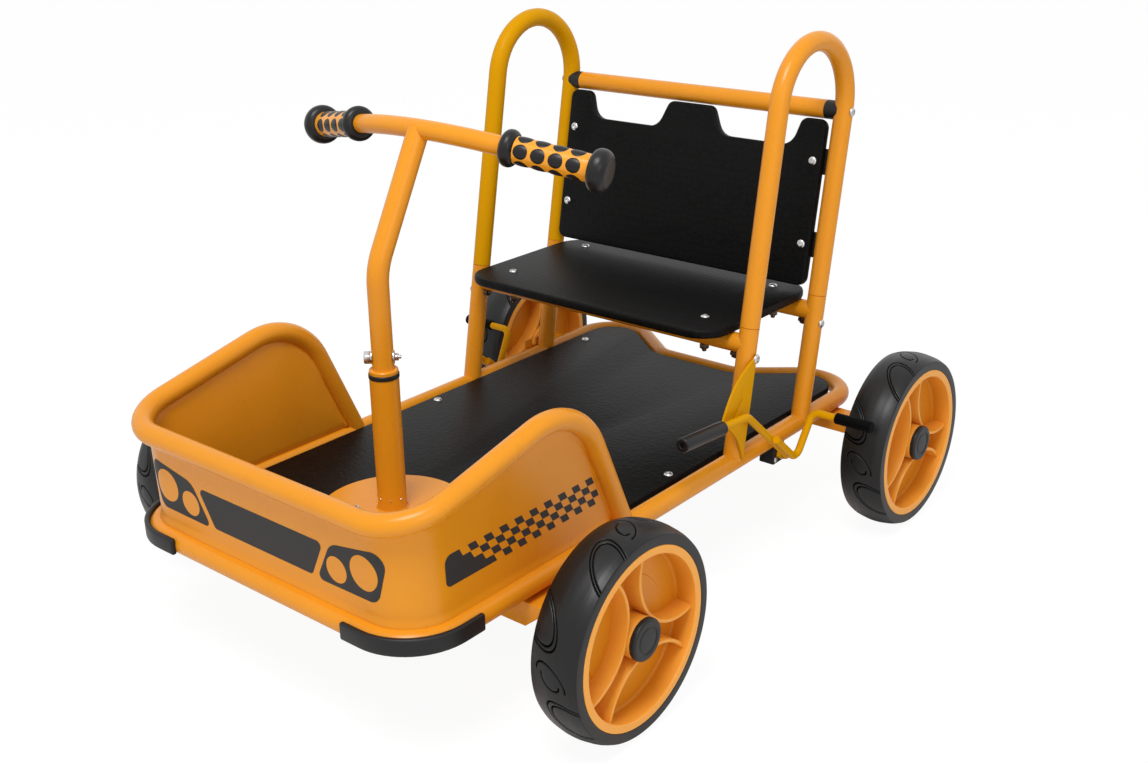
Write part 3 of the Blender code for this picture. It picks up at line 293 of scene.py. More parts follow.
def embossedBoard(name, slot, look):
    # phenolic-filmed plywood: black film pressed with a faint net of cells, dull with a soft sheen
    made, tree, shader = newMaterial(name)
    where = addNode(tree, "ShaderNodeTexCoord").outputs["Object"]
    cells = addNode(tree, "ShaderNodeTexVoronoi", {"feature": "DISTANCE_TO_EDGE"},
                    {"Vector": where, "Scale": perMetre(look["cellMm"]), "Randomness": look["uneven"]})
    groove = addNode(tree, "ShaderNodeMapRange", {"interpolation_type": "SMOOTHSTEP"},
                     {"Value": cells.outputs["Distance"], "From Max": look["grooveShare"]}).outputs["Result"]
    speck = addNode(tree, "ShaderNodeTexNoise", None,
                    {"Vector": where, "Scale": perMetre(look["speckMm"]), "Detail": 2})
    height = addNode(tree, "ShaderNodeMath", {"operation": "MULTIPLY_ADD"},
                     {0: speck.outputs["Fac"], 1: look["speckShare"], 2: groove})
    # painted shade: the colour is a little darker down in the pressed grooves between the cells
    coverSurface(tree, shader, look, groove, (height.outputs["Value"], "emboss"))
    return made, slot


def treadRubber(name, slot, look):
    # vulcanised rubber: charcoal with a soft sheen and a fine skin; painted shade makes it dark and dull down
    # in the grooves
    made, tree, shader = newMaterial(name)
    where = addNode(tree, "ShaderNodeTexCoord").outputs["Object"]
    skin = addNode(tree, "ShaderNodeTexNoise", None,
                   {"Vector": where, "Scale": perMetre(look["skinMm"]), "Detail": 3})
    groove = addNode(tree, "ShaderNodeAttribute", {"attribute_name": "groove"}).outputs["Fac"]
    sheenShadedInGrooves = addNode(tree, "ShaderNodeMapRange", None,
                    {"Value": groove, "From Max": look["shineShadedFrom"], "To Min": look["shine"], "To Max": 0.0})
    bare = addNode(tree, "ShaderNodeMath", {"operation": "SUBTRACT"}, {0: 1.0, 1: groove})
    coverSurface(tree, shader, look, bare.outputs["Value"], (skin.outputs["Fac"], "skin"),
                 {"Specular IOR Level": sheenShadedInGrooves.outputs["Result"]})
    return made, slot


def platedSteel(name, slot, look):
    # zinc-plated steel: bright and smooth, with the faint swirl of the forming tool
    made, tree, shader = newMaterial(name)
    where = addNode(tree, "ShaderNodeTexCoord").outputs["Object"]
    swirl = addNode(tree, "ShaderNodeTexNoise", None,
                    {"Vector": where, "Scale": perMetre(look["swirlMm"]), "Detail": 4}).outputs["Fac"]
    rough = addNode(tree, "ShaderNodeMapRange", None,
                    {"Value": swirl, "To Min": look["rough"] - roughSpread["plate"],
                     "To Max": look["rough"] + roughSpread["plate"]})
    coverSurface(tree, shader, look, swirl, None, {"Roughness": rough.outputs["Result"], "Metallic": 1.0})
    return made, slot


# a finish is a material and the slot of the record that it stands for
orangePaint = powderCoat("orangePowderCoat", "orange_paint", {
    "deep": "#E59118", "bright": "#E99820", "cloudMm": 60, "peelMm": 3.0, "peel": 0.04, "rough": 0.28,
    "shine": 0.30})
yellowPaint = powderCoat("yellowPowderCoat", "yellow_paint", {
    "deep": "#D69600", "bright": "#DB9C02", "cloudMm": 60, "peelMm": 3.0, "peel": 0.04, "rough": 0.34,
    "shine": 0.06})
# the deep tone of the wheel plastic is painted shade down in the dish
rimPlastic = mouldedPlastic("orangePolypropylene", "orange_plastic", {
    "deep": "#D98A18", "bright": "#F8AA42", "grainMm": 2.5, "grain": 0.03, "rough": 0.34, "shine": 0.28,
    "mottle": 0.06})
blackPlastic = mouldedPlastic("blackPolypropylene", "black_plastic", {
    "deep": "#191919", "bright": "#202020", "grainMm": 1.5, "grain": 0.08, "rough": 0.42, "shine": 0.30})
gripPlastic = mouldedPlastic("blackSoftVinyl", "black_plastic", {
    "deep": "#141414", "bright": "#1A1A1A", "grainMm": 1.2, "grain": 0.05, "rough": 0.34, "shine": 0.30})
sleevePlastic = mouldedPlastic("orangeNylonSleeve", "orange_paint", {
    "deep": "#EE9A20", "bright": "#F2A22A", "grainMm": 2.0, "grain": 0.02, "rough": 0.22, "shine": 0.40})
boardFilm = embossedBoard("blackFilmBoard", "board", {
    "deep": "#080808", "bright": "#0E0E0E", "cellMm": 10, "uneven": 0.55, "grooveShare": 0.14, "speckMm": 1.6,
    "speckShare": 0.25, "emboss": 0.30, "rough": 0.46, "shine": 0.09})
printInk = mouldedPlastic("charcoalVinylPrint", "black_plastic", {
    "deep": "#353535", "bright": "#393939", "grainMm": 4.0, "grain": 0.02, "rough": 0.50, "shine": 0.15})
# near-black plastic for the brake sleeves, also used as painted shade in the bumper holes
sleeveBlackAndHoleShade = mouldedPlastic("blackSleeveAndPaintedHoleShade", "black_plastic", {
    "deep": "#030303", "bright": "#060606", "grainMm": 1.5, "grain": 0.05, "rough": 0.60, "shine": 0.05})
# the deep tone and the lost shine down in the grooves are painted shade
tyreRubber = treadRubber("treadRubber", "tyre_rubber", {
    "deep": "#000000", "bright": "#101010", "rough": 0.37, "shine": 0.34, "skinMm": 1.5, "skin": 0.9,
    "shineShadedFrom": 0.6})
steel = platedSteel("zincPlatedSteel", "steel", {
    "deep": "#BDBDBD", "bright": "#D8D8D8", "swirlMm": 2.0, "rough": 0.22, "shine": 0.5})
darkSteel = platedSteel("oiledSteel", "steel", {
    "deep": "#4A4038", "bright": "#6A5A4A", "swirlMm": 2.0, "rough": 0.38, "shine": 0.5})
print("materials ready")


deck = {"tube": 0.0125, "halfWidth": 0.2288, "level": 0.1475, "frontY": -0.1985, "frontBend": 0.060,
        "rearY": 0.755, "rearBend": 0.057, "recessX": 0.068, "recessY": 0.630, "recessBend": 0.040,
        "tubeEnd": 0.0008}
half = [spot(deck["halfWidth"], deck["frontY"], deck["level"]),
        spot(deck["halfWidth"], deck["rearY"], deck["level"]),
        spot(deck["recessX"], deck["recessY"], deck["level"])]
bends = [deck["frontBend"], deck["rearBend"], deck["recessBend"]]
loop = rounded(half + mirrored(half), bends + bends[::-1])
makePiece("deckTube", tubeShape(loop, deck["tube"], True), "chassis", orangePaint, ["deck_frame"])

rim = {"footY": 0.145, "humpY": 0.0587, "humpZ": 0.3383, "humpBend": 0.089, "frontY": -0.2030,
       "frontZ": 0.2768, "bendDegrees": 4}
half = [spot(deck["halfWidth"], rim["footY"], deck["level"]),
        spot(deck["halfWidth"], rim["humpY"], rim["humpZ"]),
        spot(deck["halfWidth"], rim["frontY"], rim["frontZ"])]
bends = [None, rim["humpBend"], deck["frontBend"]]
rimLine = rounded(half + mirrored(half), bends + bends[::-1], rim["bendDegrees"])
makePiece("tubRim", tubeShape(rimLine, deck["tube"]), "chassis", orangePaint, ["tub_rim"])

seatFrame = {"lean": math.radians(10.1), "frontY": 0.3721, "rearY": 0.5395, "postTop": 0.320,
             "hoopLeg": 0.27325, "joinGap": 0.0010, "joinCore": 0.0112, "coreHalf": 0.004,
             "capSink": 0.004, "capEdge": 0.0012}
postUp = Vector((0, math.sin(seatFrame["lean"]), math.cos(seatFrame["lean"])))
postBack = Vector((0, math.cos(seatFrame["lean"]), -math.sin(seatFrame["lean"])))


def postPoint(x, footY, z):
    return spot(x, footY + (z - deck["level"]) * math.tan(seatFrame["lean"]), z)


def cutTube(line):  # a tube whose sawn ends are eased
    shape = tubeShape(line, deck["tube"])
    softenEdges(shape, deck["tubeEnd"])
    return shape


hoopPaint = {"left": orangePaint, "right": yellowPaint}
for side, sign in sides:
    x = sign * deck["halfWidth"]
    for end in ("front", "rear"):
        footY = seatFrame[end + "Y"]
        foot, head = postPoint(x, footY, deck["level"]), postPoint(x, footY, seatFrame["postTop"])
        shape = cutTube([foot, head])
        core = postUp * seatFrame["coreHalf"]
        addTo(shape, tubeShape([head - core, head + core], seatFrame["joinCore"]))
        makePiece("seatPost_" + end + "_" + side, shape, "chassis", orangePaint,
                  ["seat_post_" + end + "_" + side])
    front = postPoint(x, seatFrame["frontY"], seatFrame["postTop"]) + postUp * seatFrame["joinGap"]
    rear = postPoint(x, seatFrame["rearY"], seatFrame["postTop"]) + postUp * seatFrame["joinGap"]
    span = (rear - front).dot(postBack)
    crown = front + postUp * (seatFrame["hoopLeg"] + span / 2 - seatFrame["joinGap"])
    line = rounded([front, crown, crown + postBack * span, rear], [None, span / 2, span / 2, None])
    makePiece("hoop_" + side + "_tube", cutTube(line), "chassis", hoopPaint[side], ["hoop_" + side])
for end in ("front", "rear"):
    low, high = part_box("seat_cross_" + end)
    middle = (low + high) / 2
    line = [Vector((x, middle.y, middle.z)) for x in (-deck["halfWidth"], deck["halfWidth"])]
    makePiece("seatCross_" + end, tubeShape(line, deck["tube"]), "chassis", orangePaint,
              ["seat_cross_" + end])

low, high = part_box("push_bar")
barMiddle = (low + high) / 2
line = [Vector((x, barMiddle.y, barMiddle.z)) for x in (low.x, high.x)]
makePiece("pushBar", cutTube(line), "chassis", orangePaint, ["push_bar"])
for side, sign in sides:
    capEnds = (high.x + clearance, deck["halfWidth"] - seatFrame["capSink"])
    shape = tubeShape([Vector((sign * x, barMiddle.y, barMiddle.z)) for x in capEnds], deck["tube"])
    softenEdges(shape, seatFrame["capEdge"])
    makePiece("pushBarCap_" + side, shape, "chassis", blackPlastic, ["push_bar_cap_" + side])
print("frame tubes ready")


# a band is the share of the way up the sheet, a step from there in metres, and a share of the inset
panel = {"sheet": 0.002, "inset": 0.0040, "fillets": 0.022, "leastHeight": 0.0005, "tipY": 0.1252,
         "lean": 0.0045, "cornerSteps": 14, "frontSteps": 10, "sideSteps": 60,
         "bands": [(0.0, -0.006, 0.0), (0.0, 0.0015, 0.25), (0.0, 0.0045, 0.7), (0.0, 0.010, 1.0),
                   (0.5, 0.0, 1.0), (1.0, -0.010, 1.0), (1.0, -0.0045, 0.7), (1.0, -0.0015, 0.25),
                   (1.0, 0.006, 0.0)]}
flatHalf = deck["halfWidth"] - deck["frontBend"]
quarter = deck["frontBend"] * math.pi / 2
cornerY = deck["frontY"] + deck["frontBend"]
deckCrest = deck["level"] + deck["tube"]
rimHalf = [p for p in rimLine[:len(rimLine) // 2 + 1] if p.x > 0]


def rimHeight(y):  # height of the rim tube's axis, and how steep it is there
    for a, b in zip(rimHalf, rimHalf[1:]):
        if b.y <= y + axleY <= a.y and a.y - b.y > 1e-7:
            share = (a.y - y - axleY) / (a.y - b.y)
            return a.z + (b.z - a.z) * share, math.hypot(1, (b.z - a.z) / (b.y - a.y))
    return rim["frontZ"], 1.0


def onPanel(s, z, inset):  # s runs along the sheet from the middle of its front
    sign = 1 if s >= 0 else -1
    s = abs(s)
    if s <= flatHalf:
        x, y = s, deck["frontY"] + inset
    elif s <= flatHalf + quarter:
        angle = (s - flatHalf) / deck["frontBend"]
        reach = deck["frontBend"] - inset
        x = flatHalf + reach * math.sin(angle)
        y = cornerY - reach * math.cos(angle)
    else:
        x, y = deck["halfWidth"] - inset, cornerY + s - flatHalf - quarter
    forward = max(0, (rim["humpY"] - y) / (rim["humpY"] - rim["frontY"]))
    rise = (z - deckCrest) / (rim["frontZ"] - deckCrest)
    return spot(sign * x, y - panel["lean"] * forward * rise, z)


sideRun = panel["tipY"] - cornerY
stations = [flatHalf * k / panel["frontSteps"] for k in range(panel["frontSteps"])]
stations += [flatHalf + quarter * k / panel["cornerSteps"] for k in range(panel["cornerSteps"])]
stations += [flatHalf + quarter + sideRun * k / panel["sideSteps"] for k in range(panel["sideSteps"] + 1)]
stations = [-s for s in stations[:0:-1]] + stations
rows = len(panel["bands"])
shape = bmesh.new()
bmesh.ops.create_grid(shape, x_segments=len(stations) - 1, y_segments=rows - 1, size=1)
columns = sorted(shape.verts, key=lambda v: (round(v.co.x, 5), v.co.y))
for i, s in enumerate(stations):
    y = cornerY + max(0, abs(s) - flatHalf - quarter)
    if abs(s) < flatHalf + quarter:
        y = onPanel(s, rim["frontZ"], 0).y - axleY
    top, steep = rimHeight(y)
    top -= deck["tube"] * steep
    height = max(panel["leastHeight"], top - deckCrest)
    squeeze = min(1, height / panel["fillets"])  # the bands close up toward the sheet's rear points
    for j, (share, step, insetShare) in enumerate(panel["bands"]):
        z = deckCrest + height * share + step * squeeze
        columns[i * rows + j].co = onPanel(s, z, panel["inset"] * insetShare)
for face in shape.faces:
    face.normal_update()
front = min(shape.faces, key=lambda f: f.calc_center_median().y)
if front.normal.y > 0:  # the sheet's front looks out
    bmesh.ops.reverse_faces(shape, faces=shape.faces)
tubSheet = makePiece("tubPanel", shape, "chassis", orangePaint, ["tub_panel"], merge=False)
sheetWall = tubSheet.modifiers.new("sheet", "SOLIDIFY")
sheetWall.thickness = panel["sheet"]
sheetWall.offset = -1

prints = {"lift": 0.00015, "cut": 0.006, "discSteps": 48}


def printShape(outline, lift):  # a flat outline laid on the panel, along s and up z
    shape = bmesh.new()
    shape.faces.new([shape.verts.new((p.x, p.y, 0)) for p in outline])
    low = min(p.x for p in outline)
    high = max(p.x for p in outline)
    for k in range(1, math.ceil((high - low) / prints["cut"])):
        bmesh.ops.bisect_plane(shape, geom=shape.verts[:] + shape.edges[:] + shape.faces[:], dist=1e-7,
                               plane_co=(low + prints["cut"] * k, 0, 0), plane_no=(1, 0, 0))
    for v in shape.verts:
        v.co = onPanel(v.co.x, v.co.y, panel["inset"] - lift)
    return shape


def alongSide(y):
    return flatHalf + quarter + y - cornerY


lamps = {"outline": [(0.089, 0.183), (0.181, 0.184), (0.1995, 0.247), (0.115, 0.232)],
         "bends": [0.006, 0.016, 0.016, 0.022],
         "rings": [(0.1215, 0.2040, 0.0152), (0.1630, 0.2145, 0.0199)]}
plate = {"outline": [(-0.0815, 0.1848), (0.0815, 0.1848), (0.104, 0.229), (-0.104, 0.229)], "bend": 0.006}
ink = bmesh.new()
glow = bmesh.new()
for sign in (1, -1):
    outline = flat([(sign * s, z) for s, z in lamps["outline"]])
    addTo(ink, printShape(rounded(outline, lamps["bends"]), prints["lift"]))
    for s, z, radius in lamps["rings"]:
        turns = [2 * math.pi * k / prints["discSteps"] for k in range(prints["discSteps"])]
        disc = flat([(sign * s + radius * math.cos(a), z + radius * math.sin(a)) for a in turns])
        addTo(glow, printShape(disc, 2 * prints["lift"]))
addTo(ink, printShape(rounded(flat(plate["outline"]), [plate["bend"]] * 4), prints["lift"]))

chequer = {"firstY": -0.1011, "firstZ": 0.2263, "rowShift": 0.0165, "pitch": 0.0233, "cell": 0.0117,
           "rise": 0.0091, "slant": 0.0048, "counts": (9, 8, 8, 7),
           "block": [(-0.1425, 0.1947), (-0.0677, 0.1947), (-0.0725, 0.2036), (-0.0842, 0.2036),
                     (-0.0890, 0.2127), (-0.1010, 0.2127), (-0.1058, 0.2218), (-0.1168, 0.2218),
                     (-0.1211, 0.2309), (-0.1425, 0.2309)],
           "bends": [0.0070] + [None] * 8 + [0.0100]}
up, out, lean = chequer["rise"] / 2, chequer["cell"] / 2, chequer["slant"] / 2
for sign in (1, -1):
    block = flat([(sign * alongSide(y), z) for y, z in chequer["block"]])
    addTo(ink, printShape(rounded(block, chequer["bends"]), prints["lift"]))
    for row, count in enumerate(chequer["counts"]):
        z = chequer["firstZ"] - row * chequer["rise"]
        for k in range(count):
            y = chequer["firstY"] + row * chequer["rowShift"] + k * chequer["pitch"]
            cell = [(y - out + lean, z - up), (y + out + lean, z - up),
                    (y + out - lean, z + up), (y - out - lean, z + up)]
            addTo(ink, printShape(flat([(sign * alongSide(p), q) for p, q in cell]), prints["lift"]))
for shape, name, finish in ((ink, "panelPrint", printInk), (glow, "lampPrint", orangePaint)):
    for face in shape.faces:
        face.normal_update()
        middle = face.calc_center_median()
        if face.normal.dot(Vector((middle.x, middle.y - axleY, 0))) < 0:
            face.normal_flip()
    makePiece(name, shape, "chassis", finish, merge=False)
print("tub panel and print ready")


# a dark disc painted as the shade in each bumper hole, and the pin: their points are shares of the hole's
# radius and heights in metres
bumper = {"depth": 0.0050, "height": 0.0202, "lift": 0.0015, "run": 0.028, "root": 0.0110, "edge": 0.0025,
          "edgeSteps": 3, "holeRadius": 0.0042, "holeRun": 0.010, "holeShadeSink": 0.0005, "pinSink": 0.0006,
          "holeShade": [(0, 0.00005), (0.55, 0.00005), (0.92, 0.00015), (1, 0.0004), (1.12, 0.0002),
                   (1.12, -0.002)], "pin": [(0, 0.0005), (0.12, 0.0005), (0.22, 0.0003), (0.26, 0.0)],
          "holeShadeSteps": 28, "pinSteps": 20}
reach = deck["tube"] + bumper["depth"]
startX = flatHalf - bumper["run"]
endY = cornerY + bumper["run"]
middle = deck["level"] + bumper["lift"]
holeShade = [(share * bumper["holeRadius"], h) for share, h in bumper["holeShade"]]
pin = [(share * bumper["holeRadius"], h) for share, h in bumper["pin"]]
for side, sign in sides:
    outline = []
    for out in (reach, bumper["root"]):
        frontY, sideX = deck["frontY"] - out, deck["halfWidth"] + out
        corners = [spot(startX, frontY, 0), spot(sideX, frontY, 0), spot(sideX, endY, 0)]
        arc = rounded(corners, [None, deck["frontBend"] + out, None])
        outline += arc if out == reach else arc[::-1]
    place = Matrix.Translation((0, 0, middle - bumper["height"] / 2))
    shape = plateShape([(sign * p.x, p.y) for p in outline], bumper["height"], place,
                       bumper["edge"], bumper["edgeSteps"])
    makePiece("cornerBumper_" + side, shape, "chassis", blackPlastic, ["front_bumper_" + side])
    holeShades = bmesh.new()
    pins = bmesh.new()
    frontHole = spot(sign * (startX + bumper["holeRun"]), deck["frontY"] - reach, middle)
    sideHole = spot(sign * (deck["halfWidth"] + reach), endY - bumper["holeRun"], middle)
    for at, way in ((frontHole, Vector((0, -1, 0))), (sideHole, Vector((sign, 0, 0)))):
        # painted shade: a near-black disc stands in each hole for the shade inside it
        addTo(holeShades, turnedShape(holeShade, facing(at - way * bumper["holeShadeSink"], way), steps=bumper["holeShadeSteps"]))
        addTo(pins, turnedShape(pin, facing(at - way * bumper["pinSink"], way), steps=bumper["pinSteps"]))
    makePiece("bumperHoleShade_" + side, holeShades, "chassis", sleeveBlackAndHoleShade)
    makePiece("bumperPins_" + side, pins, "chassis", steel)
print("bumpers ready")


column = {"boardTop": 0.158, "flangeRadius": 0.087, "flangeThick": 0.004, "flangeEdge": 0.001,
          "flangeSteps": 96, "headRadius": 0.017, "headTop": 0.3270, "headEdge": 0.0008, "weld": 0.0025,
          "weldThroat": 0.35, "ring": 0.0045, "ringRadius": 0.0177, "ringLap": 0.0010, "ringEdge": 0.0006,
          "bore": 0.0135, "bushBore": 0.0105, "bushRadius": 0.0128, "bushDepth": 0.018,
          "collarRadius": 0.0168, "collar": 0.0045, "collarEdge": 0.001}
columnAt = Vector((0, hinge["steer"].y, 0))
upright = Matrix.Translation(columnAt)
flangeFoot = column["boardTop"] + clearance
flangeTop = flangeFoot + column["flangeThick"]
radius, edge = column["flangeRadius"], column["flangeEdge"]
profile = [(column["bore"], flangeFoot), (radius, flangeFoot), (radius, flangeTop - edge),
           (radius - edge, flangeTop), (column["bore"], flangeTop)]
makePiece("columnFlange", turnedShape(profile, upright, True, column["flangeSteps"]), "chassis", orangePaint,
          ["column_flange"])
radius, edge, weld = column["headRadius"], column["headEdge"], column["weld"]
throat = weld * column["weldThroat"]
profile = [(column["bore"], flangeTop), (radius + weld, flangeTop), (radius + throat, flangeTop + throat),
           (radius, flangeTop + weld), (radius, column["headTop"] - edge), (radius - edge, column["headTop"]),
           (column["bore"], column["headTop"])]
makePiece("headTube", turnedShape(profile, upright, True), "chassis", orangePaint, ["head_tube"])
ringLow = column["headTop"] - column["ringLap"]  # the ring laps the head tube's mouth
ringHigh = column["headTop"] + column["ring"]
bushLow = ringLow - column["bushDepth"]
radius, edge = column["ringRadius"], column["ringEdge"]
profile = [(column["bushBore"], bushLow), (column["bushRadius"], bushLow), (column["bushRadius"], ringLow),
           (radius - edge, ringLow), (radius, ringLow + edge), (radius, ringHigh - edge),
           (radius - edge, ringHigh), (column["bushBore"], ringHigh)]
makePiece("headBush", turnedShape(profile, upright, True), "chassis", blackPlastic, ["head_bush"])

steering = {"stemRadius": 0.0125, "bendZ": 0.453, "bendRadius": 0.080, "barRadius": 0.011, "apexBack": 0.0589,
            "apexZ": 0.6056, "endX": 0.2275, "tipInset": 0.009, "barBend": 0.343, "sweep": 0.295,
            "droop": 0.166, "gripX": 0.1104, "barDegrees": 2, "stemDegrees": 3, "tubeSides": 10}
stemFoot = ringHigh + clearance
outward = Vector((1, steering["sweep"], -steering["droop"])).normalized()
apex = columnAt + Vector((0, steering["apexBack"], steering["apexZ"]))
tipLeft = apex + outward * (steering["endX"] / outward.x - steering["tipInset"])
tipRight = Vector((-tipLeft.x, tipLeft.y, tipLeft.z))
barLine = rounded([tipLeft, apex, tipRight], [None, steering["barBend"], None], steering["barDegrees"])
makePiece("handlebarTube", tubeShape(barLine, steering["barRadius"], sides=steering["tubeSides"]), "steering",
          orangePaint, ["handlebar"])
barMid = barLine[len(barLine) // 2]
stemCorners = [columnAt + Vector((0, 0, stemFoot)), columnAt + Vector((0, 0, steering["bendZ"])), barMid]
stemLine = rounded(stemCorners, [None, steering["bendRadius"], None], steering["stemDegrees"])
shape = tubeShape(stemLine, steering["stemRadius"], sides=steering["tubeSides"])
radius, edge, collarTop = column["collarRadius"], column["collarEdge"], stemFoot + column["collar"]
profile = [(steering["stemRadius"] - edge, stemFoot), (radius, stemFoot), (radius, collarTop - edge),
           (radius - edge, collarTop), (steering["stemRadius"] - edge, collarTop)]
addTo(shape, turnedShape(profile, upright, True))
makePiece("stemTube", shape, "steering", orangePaint, ["steering_stem"])

grip = {"bore": 0.0113, "ringRadius": 0.0205, "ringWidth": 0.016, "ringCurve": 0.0075, "ringDegrees": 12,
        "knobRadius": 0.0235, "knobWidth": 0.021, "neckCurve": 0.0085, "knobCurve": 0.0105, "knobDegrees": 9,
        "endWall": 0.0085, "coreRadius": 0.0137, "sleeveFit": 0.0002, "sleeveRadius": 0.0150,
        "nubStart": 0.0100, "nubPitch": 0.0203, "nubRadius": 0.0095, "nubRows": 5, "nubsAlong": 4,
        "nubSink": 0.0006, "nubLift": 0.00144, "nubRoot": -0.3,
        "nubTurn": {"left": math.radians(79), "right": math.radians(-90)}}
gripLength = (steering["endX"] - steering["gripX"]) / outward.x
neck = gripLength - grip["knobWidth"]
gripFloor = gripLength - grip["endWall"]
ringPart = roundedProfile([(grip["bore"], 0), (grip["ringRadius"], 0),
                           (grip["ringRadius"], grip["ringWidth"]), (grip["bore"], grip["ringWidth"])],
                          [None, grip["ringCurve"], grip["ringCurve"], None], grip["ringDegrees"])
knobPart = roundedProfile([(grip["coreRadius"], neck), (grip["knobRadius"], neck),
                           (grip["knobRadius"], gripLength), (0, gripLength)],
                          [None, grip["neckCurve"], grip["knobCurve"], None], grip["knobDegrees"])
rubber = ringPart[:-1] + [(grip["coreRadius"], grip["ringWidth"])] + knobPart
rubber += [(0, gripFloor), (grip["bore"], gripFloor)]
sleeveEnds = (grip["ringWidth"] + clearance, neck - clearance)
sleeveBore = grip["coreRadius"] + grip["sleeveFit"]
sleeve = [(sleeveBore, sleeveEnds[0]), (grip["sleeveRadius"], sleeveEnds[0]),
          (grip["sleeveRadius"], sleeveEnds[1]), (sleeveBore, sleeveEnds[1])]
for side, sign in sides:
    way = Vector((sign * outward.x, outward.y, outward.z))
    place = facing(apex + way * (steering["gripX"] / outward.x), way)
    makePiece("gripRubber_" + side, turnedShape(rubber, place, True), "steering", gripPlastic,
              ["grip_rubber_" + side])
    makePiece("gripSleeve_" + side, turnedShape(sleeve, place, True), "steering", sleevePlastic,
              ["grip_sleeve_" + side])
    nubs = bmesh.new()
    for row in range(grip["nubRows"]):
        turn = Matrix.Rotation(grip["nubTurn"][side] + 2 * math.pi * row / grip["nubRows"], 4, "Z")
        for k in range(grip["nubsAlong"]):
            nub = bmesh.new()
            bmesh.ops.create_uvsphere(nub, u_segments=20, v_segments=10, radius=grip["nubRadius"])
            for v in nub.verts:  # a low dome that hugs the sleeve
                around = v.co.x / grip["sleeveRadius"]
                lift = grip["nubLift"] * max(grip["nubRoot"], v.co.z / grip["nubRadius"])
                reach = grip["sleeveRadius"] - grip["nubSink"] + lift
                v.co = (reach * math.sin(around), reach * math.cos(around), v.co.y)
            along = grip["ringWidth"] + grip["nubStart"] + grip["nubPitch"] * k
            rise = Matrix.Translation((0, 0, along))
            bmesh.ops.transform(nub, matrix=place @ rise @ turn, verts=nub.verts)
            addTo(nubs, nub)
    makePiece("gripNubs_" + side, nubs, "steering", gripPlastic)
nodes["steering_shaft"].material_slots[0].material = steel[0]
print("steering ready")


# how far the edges of each solid are rounded, and the finish that it has
softEdges = [("front_axle_beam", 0.0015, orangePaint), ("deck_board", 0.0015, boardFilm),
             ("seat_board", 0.0032, boardFilm), ("back_board", 0.0022, boardFilm),
             ("back_tab_low_left", 0.0012, blackPlastic), ("back_tab_low_right", 0.0012, blackPlastic),
             ("back_tab_high_left", 0.0012, blackPlastic), ("back_tab_high_right", 0.0012, blackPlastic),
             ("rear_axle_beam", 0.0012, orangePaint), ("side_lug_right", 0.0008, orangePaint),
             ("brake_fin", 0.0002, yellowPaint), ("brake_bearing_left", 0.0010, blackPlastic),
             ("brake_bearing_right", 0.0010, blackPlastic), ("cross_bar_column", 0.0008, orangePaint),
             ("cross_bar_mid", 0.0008, orangePaint), ("cross_bar_rear", 0.0008, orangePaint)]
drawnOut = {"seat_board": Vector((0, 0.007, 0)), "back_board": postUp * -0.003}  # the two boards nearly meet
for node, width, finish in softEdges:
    softenedNode(node, width, finish, drawnOut.get(node))
print("boards, beams and blocks ready")


brake = {"rod": 0.005, "bend": 0.012, "leverX": 0.2555, "kneeBack": 0.108, "kneeUp": 0.094, "reach": 0.250,
         "endUp": 0.105, "tipInset": 0.006, "kneeBend": 0.020, "rightStub": 0.045, "armStub": 0.070,
         "armKneeX": 0.004, "armKneeY": 0.0315, "armKneeZ": 0.058, "armEnd": 0.354, "sleeveRadius": 0.0075,
         "sleeveStart": 0.305, "sleeveOver": 0.0023, "sleeveBends": [None, 0.0008, 0.0016, None],
         "gripRadius": 0.009, "gripLength": 0.086, "gripWell": 0.0035, "gripWellDepth": 0.004,
         "gripBends": [None, 0.0015, 0.0022, 0.0008, None, None], "bendDegrees": 15, "turnSteps": 40}
pivot = Vector((0, hinge["brake_lever"].y, hinge["brake_lever"].z))
rodBore = brake["rod"] + clearance
leverX = Vector((brake["leverX"], 0, 0))
knee = Vector((0, -brake["kneeBack"], brake["kneeUp"]))
rise = knee.normalized()
tip = Vector((brake["leverX"], -brake["reach"], brake["endUp"]))
hand = (tip - knee - leverX).normalized()
corners = [rise * brake["rightStub"] - leverX, -leverX, leverX, knee + leverX, tip - hand * brake["tipInset"]]
bends = [None, brake["bend"], brake["bend"], brake["kneeBend"], None]
line = rounded([pivot + c for c in corners], bends)
makePiece("brakeLever", tubeShape(line, brake["rod"]), "brake", yellowPaint, ["brake_shaft_and_lever"])
wellFloor = brake["gripLength"] - brake["gripWellDepth"]
profile = roundedProfile([(rodBore, 0), (brake["gripRadius"], 0), (brake["gripRadius"], brake["gripLength"]),
                          (brake["gripWell"], brake["gripLength"]), (brake["gripWell"], wellFloor),
                          (0, wellFloor)],
                         brake["gripBends"], brake["bendDegrees"])
place = facing(pivot + tip - hand * brake["gripLength"], hand)
makePiece("leverGrip", turnedShape(profile, place, steps=brake["turnSteps"]), "brake", gripPlastic,
          ["lever_grip"])
armX = Vector((brake["leverX"] + 2 * brake["rod"] + clearance, 0, 0))
sleeveEnd = brake["armEnd"] + brake["sleeveOver"]
sleeve = roundedProfile([(rodBore, brake["sleeveStart"]), (brake["sleeveRadius"], brake["sleeveStart"]),
                         (brake["sleeveRadius"], sleeveEnd), (0, sleeveEnd)],
                        brake["sleeveBends"], brake["bendDegrees"])
corners = [rise * brake["armStub"] + armX, armX,
           armX + Vector((brake["armKneeX"], brake["armKneeY"], brake["armKneeZ"])),
           Vector((brake["armEnd"], brake["armKneeY"], brake["armKneeZ"]))]
armLine = rounded(corners, [None, brake["bend"], brake["bend"], None])
